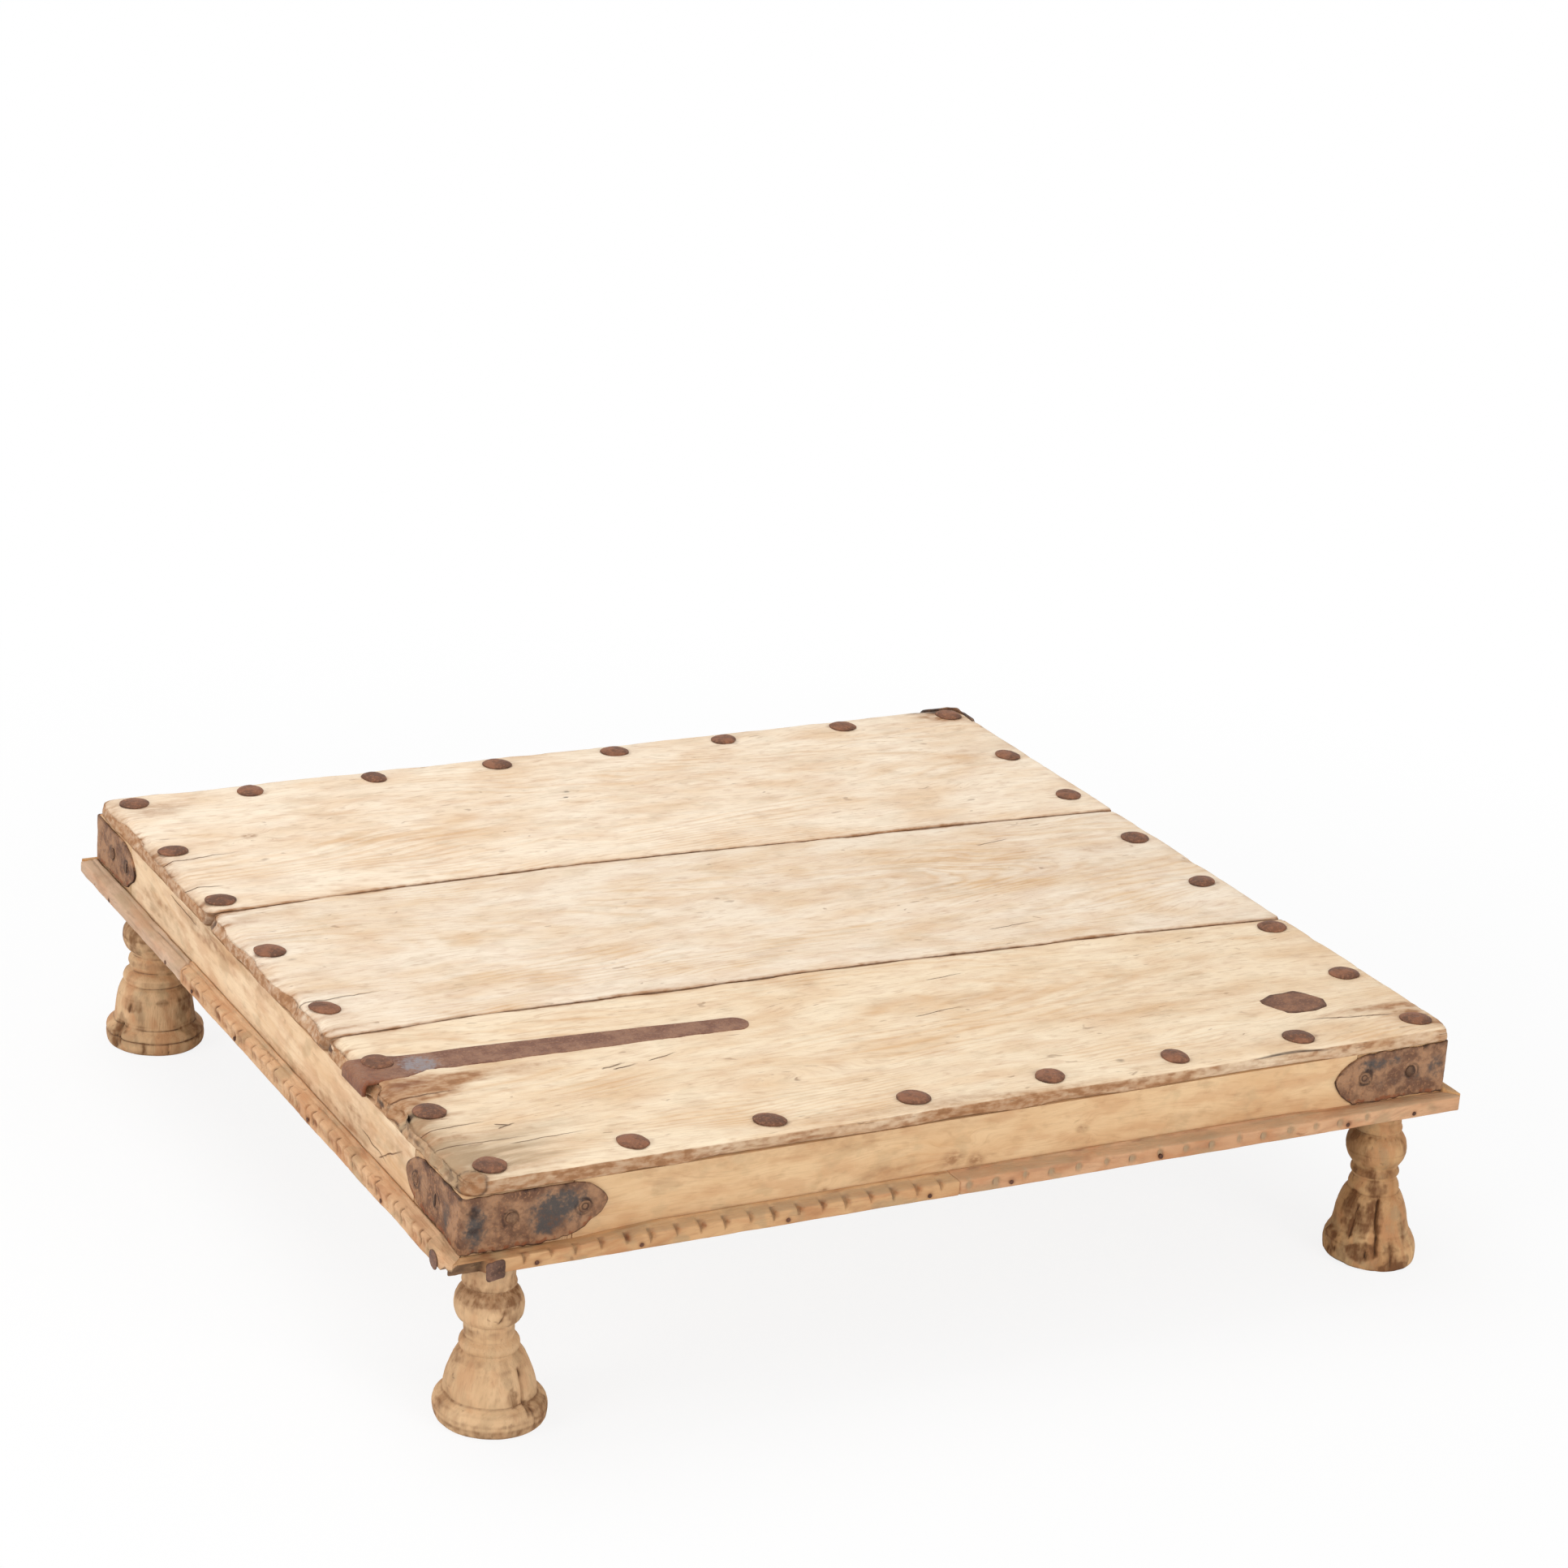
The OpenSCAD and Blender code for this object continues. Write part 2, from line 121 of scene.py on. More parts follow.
class Finish:
    """A material or a sky under way. One method makes any node from its type, settings and sockets."""

    def __init__(self, owner):
        owner.use_nodes = True
        self.owner = owner
        self.tree = owner.node_tree
        self.tree.nodes.clear()

    def node(self, kind, settings={}, sockets={}, out=0):
        made = self.tree.nodes.new("ShaderNode" + kind)
        for key, value in settings.items():
            setattr(made, key, value)
        for key, value in sockets.items():
            if isinstance(value, Wire):
                self.tree.links.new(value.socket, made.inputs[key])
            else:
                made.inputs[key].default_value = value
        return Wire(self, made.outputs[out])

    def place(self):
        """X, Y and Z on the table in millimetres."""
        where = self.node("TexCoord", out="Object")
        return [self.node("SeparateXYZ", {}, {0: where}, out=axis) * 1000 for axis in range(3)]

    def noise(self, u, v, w, detail, shift):
        where = self.node("CombineXYZ", {}, {0: u + shift, 1: v, 2: w})
        return self.node("TexNoise", {}, {"Vector": where, "Scale": 1.0, "Detail": detail})

    def painted(self, name):
        """What was painted on the points of a mesh, or 0 where nothing was."""
        return self.node("Attribute", {"attribute_name": name}, out="Fac")

    def wash(self, base, washes):
        """Lays one colour after another over the base, each by its own share."""
        colour = tint(base)
        for share, code in washes:
            colour = self.node("Mix", {"data_type": "RGBA"}, {0: share, 6: colour, 7: tint(code)}, out=2)
        return colour

    def close(self, colour, roughness, height, depth, shine=0.35):
        bumped = self.node("Bump", {}, {"Distance": depth / 1000, "Height": height}, out="Normal")
        return self.end(self.node("BsdfPrincipled", {}, {
            "Base Color": colour, "Roughness": roughness, "Specular IOR Level": shine, "Normal": bumped}))

    def end(self, shader, kind="OutputMaterial"):
        output = self.tree.nodes.new("ShaderNode" + kind)
        self.tree.links.new(shader.socket, output.inputs["Surface"])
        return self.owner


def tint(code):
    """A colour written as red, green and blue in hexadecimal, made linear."""
    parts = [int(code[i:i + 2], 16) / 255 for i in (1, 3, 5)]
    return tuple(c / 12.92 if c <= 0.04045 else ((c + 0.055) / 1.055) ** 2.4 for c in parts) + (1.0,)


# The sky lights the table softly, and shows plain white to the camera and in reflections.
pure_white = (1, 1, 1, 1)
sky = Finish(bpy.data.worlds.new("sky"))
bpy.context.scene.world = sky.owner
seen = sky.node("LightPath", out="Is Camera Ray").most(sky.node("LightPath", out="Is Glossy Ray"))
glim = sky.node("Background", {}, {"Color": pure_white, "Strength": 0.52})
full = sky.node("Background", {}, {"Color": pure_white, "Strength": 1.0})
sky.end(sky.node("MixShader", {}, {0: seen, 1: glim, 2: full}), "OutputWorld")

# The floor keeps a faint shadow near the table and is plain white farther off.
floor_mesh = bpy.data.meshes.new("floor")
floor_mesh.from_pydata([(-9, -9, 0), (9, -9, 0), (9, 9, 0), (-9, 9, 0)], [], [(0, 1, 2, 3)])
floor = bpy.data.objects.new("floor", floor_mesh)
bpy.context.scene.collection.objects.link(floor)
white = Finish(bpy.data.materials.new("floor_white"))
matt = white.node("BsdfDiffuse", {}, {"Color": (0.86, 0.86, 0.86, 1)})
glow = white.node("Emission", {}, {"Color": pure_white, "Strength": 1.0})
floor_x, floor_y, _ = white.place()
far_off = ((floor_x * floor_x + floor_y * floor_y) ** 0.5).between(500, 1300)
plain_share = white.node("LightPath", out="Is Camera Ray") * (0.86 + far_off * 0.14)
floor_mesh.materials.append(white.end(white.node("MixShader", {}, {0: plain_share, 1: matt, 2: glow})))


# Rails: four boards with their tenons, planed and now bare, honey-coloured and smooth.
# They are the frame's own nodes, and only their wood is made here.
def wood(name, order, seed, colours, figure=0.5, heart=(0, 0), knots=(), cracks=(), patches=(), grit=1.0,
         stripes=1.0, patina=0.12):
    """Bare wood. The order names the axis along the fibres, then the one across the face, then the other."""
    finish = Finish(bpy.data.materials.new(name))
    place = dict(zip("xyz", finish.place()))
    u, v, w = (place[axis] for axis in order)
    pale, tan, brown = colours

    def spots(long, wide, detail, shift, across=v):
        return finish.noise(u / long, across / wide, w / wide, detail, seed + shift)

    # The grain bends with slow drifts, and round each knot
    wave = spots(52, 20, 2, 7)
    bend = v + (spots(240, 64, 2, 0) - 0.5) * 56 + (wave - 0.5) * 6
    knot = split = finish.node("Math", {}, {0: 0.0, 1: 0.0})
    for at_u, at_v, radius in knots:
        off_u, off_v = (u - at_u) / 1.5, v - at_v
        ring = (off_u * off_u + off_v * off_v) ** 0.5 + (wave - 0.5) * radius
        bend = bend + off_v * (1 - ring.between(radius * 0.6, radius * 4.2)) * 1.6
        smudge = spots(5, 3.5, 4, at_u).between(0.3, 0.62)
        knot = knot.most((1 - ring.between(radius * 0.2, radius * 1.7)) * (0.2 + smudge * 0.55))

    # Year rings as flame figure, then fibres, clouds and marks from large to small
    from_heart = bend - heart[1]
    layers = from_heart * from_heart / 950 + (u - heart[0]) / 74 + (wave - 0.5) * 0.7
    flame = (layers * 2 * math.pi).sine() * 0.5 + 0.5
    rings = (layers * 6 * math.pi).sine() * 0.5 + 0.5
    flamed = spots(150, 50, 2, 11).between(0.44, 0.62)
    fibre = spots(16, 1.2, 3, 23, bend)
    strand = spots(28, 3.2, 5, 29, bend)
    streak = spots(84, 9, 6, 37, bend)
    cloud = spots(105, 46, 4, 53).between(0.40, 0.66)
    veil = spots(66, 27, 7, 127).between(0.42, 0.68)
    mottle = spots(13, 6, 5, 61)
    handled = spots(30, 13, 6, 139).between(0.48, 0.64) * patina
    weathered = spots(23, 15, 6, 151).between(0.52, 0.66) * patina
    grime = finish.noise(u / 8, v / 5, w / 4, 7, seed + 113)
    check = spots(15, 1.6, 2, 71, bend).between(0.69, 0.76) * spots(90, 40, 2, 89).between(0.52, 0.62)
    hair = 1 - abs(spots(30, 19, 1, 97) - 0.5).between(0.008, 0.03)
    scratch = hair * spots(24, 11, 2, 103).between(0.66, 0.72)
    marks = (check * 0.55).most(scratch * 0.42) * grit
    for (u0, v0), (u1, v1), width in cracks:
        along = (u - u0) / (u1 - u0)
        swerve = finish.noise(u / 17, 0.0, 0.0, 4, seed + u0)
        middle = along * (v1 - v0) + v0 + (swerve - 0.5) * 9 * width
        taper = along.between(0.0, 0.12) * (1 - along.between(0.5, 1.0)) * (0.2 + strand * 1.5)
        split = split.most(taper * (1 - abs(v - middle).between(0.3 * width, 1.0 * width)))

    # Dirt and painted shade, painted on the mesh or given as patches, turn the wood brown
    soil = finish.painted("soil")
    for at_u, at_v, wide, tall, share in patches:
        off_u, off_v = (u - at_u) / wide, (v - at_v) / tall
        soil = soil + (1 - (off_u * off_u + off_v * off_v).between(0.1, 1.3)) * (streak * 2 * share)
    dark = finish.painted("dark")
    soaked_and_shaded = soil * (0.2 + fibre * 0.5 + strand * 0.3 + mottle * 0.3 + grime.between(0.35, 0.65) * 0.35)
    rusted = finish.painted("rust") * (0.2 + mottle * 1.5)
    greyed = finish.painted("grey") * (0.2 + strand * 0.7 + fibre * 0.4 + grime * 0.4)
    colour = finish.wash(pale, [
        (cloud * 0.32 + veil * 0.38 + streak.between(0.50, 0.72) * 0.18 + flame ** 4 * flamed * figure
         + finish.painted("swirl") * (rings ** 2 * 0.7 + 0.15), tan),
        ((strand.between(0.52, 0.72) * 0.14 + (0.5 - fibre).between(0.0, 0.2) * 0.25) * stripes
         + mottle.between(0.54, 0.72) * 0.2, brown),
        (handled, "#b67a4e"),
        (weathered * 0.9, "#a08a68"),
        (soaked_and_shaded.between(0.05, 1.15), brown),
        ((soil - 0.4) * grime.between(0.50, 0.66) * 0.7, "#7d5434"),
        (rusted.between(0.15, 1.0) * 0.8, "#7a4a30"),
        (greyed.between(0.05, 1.05), "#ab9070"),
        (knot * 0.85, "#9a663b"),
        (marks.most(knot * knot * 0.5).most(split * 0.8), "#744a2b"),
        ((dark * (0.5 + mottle)).between(0.12, 1.0) * 0.88, "#38241a")])
    height = fibre * 0.5 + strand * 0.35 + mottle * 0.5 - marks * 0.8 - split * 2.2 - knot * 0.3 - dark * 0.6
    return finish.close(colour, 0.66 + (fibre - 0.5) * 0.2 + soil * 0.12, height, 0.8 * grit)


def dress(node, material):
    """Gives a node of the frame its material and leaves its shape."""
    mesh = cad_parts[node].data
    mesh.materials.clear()
    mesh.materials.append(material)


honey = ("#e1be92", "#cfa171", "#9c6c45")
dress("rail_near", wood(
    "rail_near_wood", "xzy", 3.1, honey, 0.3, (-60, 190), grit=0.5, stripes=0.65, patina=0.25,
    knots=[(-22, 146, 5.5), (-5, 143, 4.6), (76, 153, 2.8), (-118, 139, 2.4)],
    # The long patch at height 172 is painted shade under the edge of the planks.
    patches=[(-120, 172, 190, 9, 0.4), (180, 146, 120, 9, 0.3), (-200, 142, 60, 6, 0.3),
             (-70, 145, 34, 10, 0.4)]))
dress("rail_far", wood("rail_far_wood", "xzy", 8.7, honey, 0.45, (40, 200), grit=0.5, patina=0.25))
dress("rail_left", wood(
    "rail_left_wood", "yzx", 14.3, ("#ebcfab", *honey[1:]), 0.25, (90, 205), grit=0.6, stripes=0.5,
    patina=0.3,
    cracks=[((-214, 142), (-258, 166), 0.7), ((-184, 150), (-236, 143), 0.7), ((190, 171), (120, 168), 0.6)],
    patches=[(-230, 155, 80, 26, 0.38), (-150, 150, 60, 12, 0.4), (120, 168, 70, 9, 0.7),
             (-60, 141, 160, 5, 0.5), (10, 172, 60, 8, 0.4), (200, 150, 70, 12, 0.5)]))
dress("rail_right", wood("rail_right_wood", "yzx", 21.9, honey, 0.45, (-80, 190), grit=0.5, patina=0.25))


# Legs: each is one block of darker wood, left square at the head and turned below it to a neck, a ball,
# a bead, a ring, a bell and a foot. They are dry, dented and split.
def trio(x, y=0, z=0):
    """Points from their X, Y and Z, each an array or one value."""
    return np.stack(np.broadcast_arrays(x, y, z), 1)


def wander(points, size, seed):
    """Smooth noise from -1 to 1. The size is how long its bumps are, for all axes or for each."""
    where = np.asarray(points, float) / np.asarray(size, float) + seed * np.array([17.31, 5.77, 9.13])
    cell = np.floor(where).astype(np.int64)
    part = where - cell
    part = part * part * (3 - 2 * part)
    total = np.zeros(len(where))
    for corner in range(8):
        step = np.array([corner & 1, corner >> 1 & 1, corner >> 2 & 1])
        mixed = (cell + step) @ np.array([73856093, 19349663, 83492791])
        mixed = (mixed ^ (mixed >> 13)) * 1274126177 & 0x7FFFFFFF
        mixed = (mixed ^ (mixed >> 15)) * 668265263 & 0x7FFFFFFF
        share = np.prod(np.where(step, part, 1 - part), axis=1)
        total += share * (mixed / 0x3FFFFFFF - 1)
    return total


def unit(value):
    return np.clip(value, 0, 1)


def soft(value, start, end):
    """0 up to start, 1 from end on."""
    share = unit((value - start) / (end - start))
    return share * share * (3 - 2 * share)


def fade(value, start, end):
    """1 up to start, 0 from end on."""
    return 1 - soft(value, start, end)


def bump(value, width):
    """1 where the value is 0, falling off to both sides."""
    return np.exp(-(value / width) ** 2)


def rule(low, high, step, edge=0.0):
    """Grid lines from low to high, closer together within the given distance of both ends."""
    middle = np.linspace(low + edge, high - edge, max(2, int(round((high - low - 2 * edge) / step)) + 1))
    near = edge * np.array([0, 0.14, 0.3, 0.5, 0.73]) if edge else np.zeros(0)
    return np.concatenate([low + near, middle, (high - near)[::-1]])


def skin(xs, ys, zs):
    """Points and faces of a box's surface, with grid lines at the given places along each axis."""
    shape = (len(xs), len(ys), len(zs))
    i, j, k = np.indices(shape)
    outer = np.zeros(shape, bool)
    outer[[0, -1]] = outer[:, [0, -1]] = outer[:, :, [0, -1]] = True
    number = np.full(shape, -1)
    number[outer] = np.arange(outer.sum())
    faces = []
    for axis in range(3):
        for side in (0, -1):
            sheet = np.take(number, side, axis=axis)
            quads = np.stack([sheet[:-1, :-1], sheet[1:, :-1], sheet[1:, 1:], sheet[:-1, 1:]], -1)
            quads = quads.reshape(-1, 4)
            faces.append(quads[:, ::-1] if (side == 0) != (axis == 1) else quads)
    return trio(xs[i[outer]], ys[j[outer]], zs[k[outer]]), np.concatenate(faces)


def ease(points, low, high, radius):
    """Rounds the edges of a box; the radius may differ from point to point."""
    low, high = np.asarray(low, float), np.asarray(high, float)
    radius = np.broadcast_to(radius, len(points))[:, None]
    inner = np.clip(points, low + radius, high - radius)
    off = points - inner
    length = np.linalg.norm(off, axis=1, keepdims=True)
    return inner + off * np.minimum(1, radius / np.maximum(length, 1e-9))


def piece(name, points, faces, paint, material, node, slot):
    """Makes the mesh of one visible piece, with its points' paint, and hides the node it replaces."""
    mesh = bpy.data.meshes.new(name)
    mesh.from_pydata((np.asarray(points) / 1000).tolist(), [], [list(map(int, face)) for face in faces])
    mesh.polygons.foreach_set("use_smooth", [True] * len(mesh.polygons))
    for key, values in paint.items():
        attribute = mesh.attributes.new(key, "FLOAT", "POINT")
        attribute.data.foreach_set("value", unit(values).astype(np.float32))
    mesh.materials.append(material)
    mesh.update()
    made = bpy.data.objects.new(name, mesh)
    bpy.context.scene.collection.objects.link(made)
    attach(made, "root")
    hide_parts(node)


def join(parts):
    """Puts several sets of points, faces and paint into one."""
    points, faces, paint, start = [], [], {}, 0
    keys = sorted({key for part in parts for key in part[2]})
    for part_points, part_faces, part_paint in parts:
        points.append(part_points)
        faces.extend([[int(i) + start for i in face] for face in part_faces])
        for key in keys:
            paint.setdefault(key, []).append(part_paint.get(key, np.zeros(len(part_points))))
        start += len(part_points)
    return np.concatenate(points), faces, {key: np.concatenate(values) for key, values in paint.items()}


def turned(outline, sides, step):
    """Points and faces of a turning from its outline of radius and height, closed at both ends."""
    outline = np.asarray(outline, float)
    lengths = np.concatenate([[0], np.cumsum(np.linalg.norm(np.diff(outline, axis=0), axis=1))])
    places = np.linspace(0, lengths[-1], int(lengths[-1] / step) + 1)
    r, z = (np.interp(places, lengths, outline[:, i]) for i in (0, 1))
    r[1:-1] = (r[:-2] + 2 * r[1:-1] + r[2:]) / 4
    turns = np.linspace(0, 2 * math.pi, sides, endpoint=False)
    rings = [np.outer(r, np.cos(turns)), np.outer(r, np.sin(turns)), np.repeat(z[:, None], sides, 1)]
    a = np.arange(len(r) * sides).reshape(len(r), sides)
    b = np.roll(a, -1, axis=1)
    faces = np.stack([a[:-1], b[:-1], b[1:], a[1:]], -1).reshape(-1, 4).tolist()
    faces += [a[0, ::-1].tolist(), a[-1].tolist()]
    return np.stack(rings, -1).reshape(-1, 3), faces


# Radius and height of the turning, from the foot up. All end in the same shoulder under the block.
shoulder = [(23, 114.5), (26, 116.5), (27, 119), (26, 121.6), (22, 123.4), (22, 127)]
near_outline = [
    (33.0, 0), (34.6, 0.2), (36.2, 2), (37.0, 5), (37.2, 10.6), (36.2, 11.4), (36.6, 12.4), (35.8, 14.4),
    (34.0, 16.2), (31.4, 17.6), (30.4, 18.8), (29.7, 25), (28.2, 32), (26, 38), (23.7, 43.5), (21.6, 47),
    (20.1, 48.6), (19.1, 49.4), (20.2, 50.8), (20.4, 53.2), (19.2, 55.4), (17.4, 56.9), (16.6, 58.0),
    (16.7, 62), (16.7, 67.4), (16.3, 68.8), (18.2, 69.4), (20.4, 70.9), (21.9, 73.4), (22.6, 76.6),
    (22.7, 80), (22.0, 84.4), (20.2, 88.6), (17.4, 91.8), (15.7, 92.9), (17.4, 94.0), (17.8, 96),
    (16.6, 98.8), (16.8, 104), (19, 110), *shoulder]
left_outline = [
    (33.4, 0), (35.4, 0.3), (36.6, 2), (37.2, 5), (37.3, 9.0), (36.6, 9.8), (36.2, 10.2), (37.3, 11.0),
    (37.0, 13), (35.2, 15.4), (32.4, 17.4), (31.0, 19.4), (30.2, 26), (29.0, 34), (27.8, 40), (26.2, 44.4),
    (24.6, 47.6), (22.6, 49.0), (22.2, 49.6), (23.8, 50.6), (24.0, 53.4), (22.8, 56.0), (20.4, 57.8),
    (17.4, 59.0), (16.8, 59.6), (18.4, 61.2), (19.8, 65.4), (19.0, 68.8), (17.0, 70.4), (16.2, 71.6),
    (18.4, 74), (21.6, 78), (23.6, 83), (24.2, 87.6), (23.4, 92), (20.8, 96.4), (17.6, 99), (16.6, 102),
    (17.0, 106), (19, 110.6), *shoulder]
right_outline = [
    (31.0, 0), (32.2, 0.3), (32.8, 2), (33.2, 6), (33.3, 10), (32.4, 14), (30.6, 17.6), (28.8, 20.4),
    (27.6, 23.4), (26.6, 28), (25.6, 34), (24.0, 40), (22.4, 44.6), (20.6, 48.4), (18.4, 50.6), (17.8, 51.6),
    (18.4, 53.4), (18.0, 56), (16.4, 58.8), (15.6, 61), (16.2, 62.6), (17.6, 64.4), (17.2, 66.6),
    (15.8, 68.6), (15.7, 69.6), (17.6, 72), (20.2, 76), (21.6, 80.6), (21.8, 84.6), (21.0, 89), (18.8, 93),
    (16.4, 95.8), (17.4, 96.9), (17.9, 98.6), (16.8, 101), (16.9, 105), (19, 110), *shoulder]
post_x, post_y, post_half = 335, 312, 38
block_low, block_high = 125, 175


def turned_from(turn, degrees):
    """How far a place is turned, to the right as seen from the camera, from the side that faces it."""
    facing = math.radians(-118.76)
    return (turn - facing - math.radians(degrees) + math.pi) % (2 * math.pi) - math.pi


def leg(name, corner, shift, outline, creases, lean, seed, colours, dents=(), splits=(), stains=(),
        rot=(0, 0), calm=1.0, crease_shade=(0.30, 0.40), neck_shade=(0.42, 0.35)):
    """Crease shade and neck shade are pairs of brown and black: painted shade in the creases and under the
    moulding. Rot is where the foot is eaten away and how high.
    """
    points, faces = turned(outline, 240, 0.9)
    r = np.hypot(points[:, 0], points[:, 1])
    turn = np.arctan2(points[:, 1], points[:, 0])
    z = points[:, 2].copy()
    outward = trio(np.cos(turn), np.sin(turn))

    def drift(size, shift):
        return wander(points, size, seed + shift)

    # Uneven skin with lathe lines and dirt, painted shade in the creases, and painted shade under the ball
    # and the moulding
    push = 0.35 * drift((16, 16, 24), 0) + 0.18 * drift((5, 5, 7), 3)
    push += 0.6 * wander(outward * 12 + trio(0 * z, 0, z / 3), 9, seed + 5)
    push *= soft(r, 6, 16)
    lathe = wander(trio(0 * z, 0, z + 0.5 * drift(12, 21)), 1.9, seed + 20)
    push -= 0.12 * unit(lathe) * soft(r, 6, 16)
    soil = 0.26 * soft(lathe, 0.1, 0.8) + 0.30 * calm * soft(drift((9, 9, 30), 7), 0.1, 0.8)
    soil += 0.30 * calm * soft(drift((5, 5, 16), 9), 0.2, 0.8)
    soil += 0.25 * soft(drift((13, 13, 13), 15), 0.1, 0.7)
    dark = np.zeros(len(points))
    # Painted shade along each crease, brown and black
    for crease in creases:
        groove = bump(z - crease - 0.5 * drift(14, crease), 0.75)
        soil += crease_shade[0] * groove
        dark += crease_shade[1] * groove ** 3 * soft(drift((12, 12, 50), 2 * crease), -0.6, 0.3)
    for angle, height, depth, wide, tall in dents:
        dent = bump(turned_from(turn, angle) * r, wide) * bump(z - height, tall)
        push -= depth * dent * (1 + 0.35 * drift(4, angle))
    for angle, low, high, wide, deep, slant in splits:
        path = slant * (z - low) / (high - low) + 1.3 * wander(trio(z, z, z), 9, seed + angle)
        off = turned_from(turn, angle) * r - path
        ends = soft(z, low, low + 3) * fade(z, high - 5, high)
        push -= deep * bump(off, wide) * ends
        dark += 0.9 * (bump(off, wide) * ends) ** 2 * (0.75 + 0.4 * drift(5, angle))
        soil += 0.5 * bump(off, wide * 2.6) * ends
    for angle, height, wide, tall, strength in stains:
        spot = np.exp(-((turned_from(turn, angle) * r / wide) ** 2 + ((z - height) / tall) ** 2) ** 2)
        ragged = 0.4 * drift((6, 6, 9), angle) + 0.3 * drift(2.2, angle + 1)
        soil += strength * soft(spot + ragged * soft(spot, 0.02, 0.3), 0.15, 0.95)
    # Dirt at the foot; painted shade under the moulding on the neck and the top of the ball, and a band of it
    # under the ball
    soil += 0.35 * fade(z, 0, 9) * (0.7 + 0.5 * drift(6, 13)) + 0.5 * soft(z, 108, 120)
    soil += 0.15 * bump(z - 71, 6) + neck_shade[0] * soft(z, 76, 100)
    dark += neck_shade[1] * soft(z, 97, 105)
    dark += 0.5 * soft(drift(2.0, 23), 0.62, 0.8) * soft(drift(15, 24), -0.1, 0.5)
    push[z > 123.5] = 0
    points = points + outward * push[:, None]

    # The rotten side of a foot, then the lean, and the square block on top
    toward = unit(np.cos(turned_from(turn, rot[0]))) ** 1.5
    eaten = rot[1] * toward * (1 + 0.3 * drift(6, 17)) * soft(r, 4, 22)
    points[:, 2] = np.maximum(points[:, 2], eaten)
    dark += 0.8 * soft(eaten - z, -3, 1) * (rot[1] > 0) * unit(0.6 + drift(5, 19))
    points += unit(1 - z / block_low)[:, None] * np.array([*lean, 0])
    middle = np.array([corner[0] * post_x, corner[1] * post_y, 0])
    points += middle + np.array([*shift, 0])
    width = rule(-post_half, post_half, 4, 4)
    block, block_faces = skin(width, width, rule(block_low, block_high, 4, 4))
    block = ease(block, (-post_half, -post_half, block_low), (post_half, post_half, block_high), 1.6) + middle
    material = wood(name + "_wood", "zxy", seed + 31, colours, 0.45, (60, middle[0]), grit=0.9, stripes=0.7,
                    patina=0.5 * calm)
    piece(name + "_turned", *join([(points, faces, {"soil": soil, "dark": dark}),
                                   (block, block_faces, {"soil": np.full(len(block), 0.15)})]),
          material, name, "leg_wood")


leg_colours = ("#dbb68c", "#bf966c", "#7f5938")
near_creases = (18.6, 49.4, 57.8, 69)
leg("leg_near", (-1, -1), (-1.6, 0), near_outline, near_creases, (4.2, -4.0), 1.7, leg_colours, calm=0.55,
    dents=[(48, 17, 1.6, 5, 5), (-62, 20, 1.2, 6, 4)],
    splits=[(50, 10, 44, 0.8, 1.8, 1.0), (57, 0, 22, 0.7, 1.4, -1.5), (16, 73, 87, 0.6, 0.5, 8)],
    # The band round the waist at height 63 and the smear at height 88 over the ball are painted shade, under
    # the ball and under the moulding.
    stains=[(36, 25, 4.6, 8.0, 0.7), (30, 38, 5, 9, 0.4), (-70, 30, 10, 26, 0.4), (62, 80, 14, 13, 0.5),
            (0, 63, 60, 3.4, 0.4), (-20, 88, 34, 9, 0.35), (20, 6, 40, 6, 0.35), (-40, 46, 16, 4, 0.4),
            (78, 14, 12, 12, 0.5)])
leg("leg_left", (-1, 1), (-5.9, 3.2), left_outline, (10.2, 19, 49.4, 59.4, 71.4, 101), (2.3, -1.3), 4.4,
    leg_colours, crease_shade=(0.45, 0.85),
    dents=[(-44, 17, 2.6, 5, 5), (-40, 9, 2.0, 4, 6)],
    splits=[(-46, 0, 22, 1.1, 2.4, 1.5), (-38, 3, 17, 0.8, 1.4, -1.0), (-4, 0, 12, 0.6, 1.2, 0.3),
            (26, 0, 12, 0.6, 1.0, 0.2), (-30, 28, 40, 0.7, 0.8, 0.8)],
    stains=[(-42, 18, 9, 10, 0.6), (-28, 38, 10, 7, 0.6), (22, 40, 5, 3, 0.5), (8, 53, 26, 2, 0.4),
            (70, 28, 17, 30, 0.6), (-60, 8, 12, 8, 0.4), (0, 66, 40, 3, 0.4), (-20, 92, 30, 16, 0.5)])
leg("leg_right", (1, -1), (15.2, 0), right_outline, (50.8, 61, 69, 96), (0.9, -8.0), 6.2,
    ("#d4ab7a", "#b08052", "#6b4322"), rot=(-62, 2.6), neck_shade=(0.2, 0.0),
    dents=[(-76, 19, -3.6, 3.0, 3.0), (-70, 9, 2.4, 9, 5), (-24, 10, 1.6, 6, 4), (4, 12, 1.6, 3, 8),
           (-40, 36, 1.6, 7, 12), (-6, 30, 1.0, 4, 14), (26, 30, 1.3, 6, 13), (50, 16, 1.2, 7, 5)],
    splits=[(0, 10, 52, 1.0, 3.0, 1.5), (-12, 7, 18, 1.0, 2.4, -1.0), (-58, 6, 14, 0.9, 1.4, 2.0),
            (34, 20, 23, 8, 0.5, 0), (-40, 18, 46, 0.7, 1.4, 3.0), (22, 2, 22, 0.7, 1.4, 1.0)],
    stains=[(-48, 34, 8, 20, 0.6), (-20, 36, 7, 14, 0.5), (-16, 13, 11, 8, 0.75), (-66, 14, 9, 12, 0.7),
            (-40, 12, 9, 8, 0.5), (22, 12, 7, 8, 0.6), (6, 36, 4, 14, 0.5), (40, 7, 9, 6, 0.6),
            (4, 57, 9, 6, 0.6), (28, 3, 14, 4, 0.6), (0, 66, 30, 3, 0.5), (-50, 86, 14, 14, 0.5),
            (60, 30, 8, 22, 0.3)])
leg("leg_back", (1, 1), (0, 0), near_outline, near_creases, (0.3, -0.4), 9.8, leg_colours,
    dents=[(150, 16, 1.4, 6, 5)], splits=[(140, 0, 30, 1.1, 2.0, 1.0)], stains=[(170, 30, 10, 20, 0.4)])


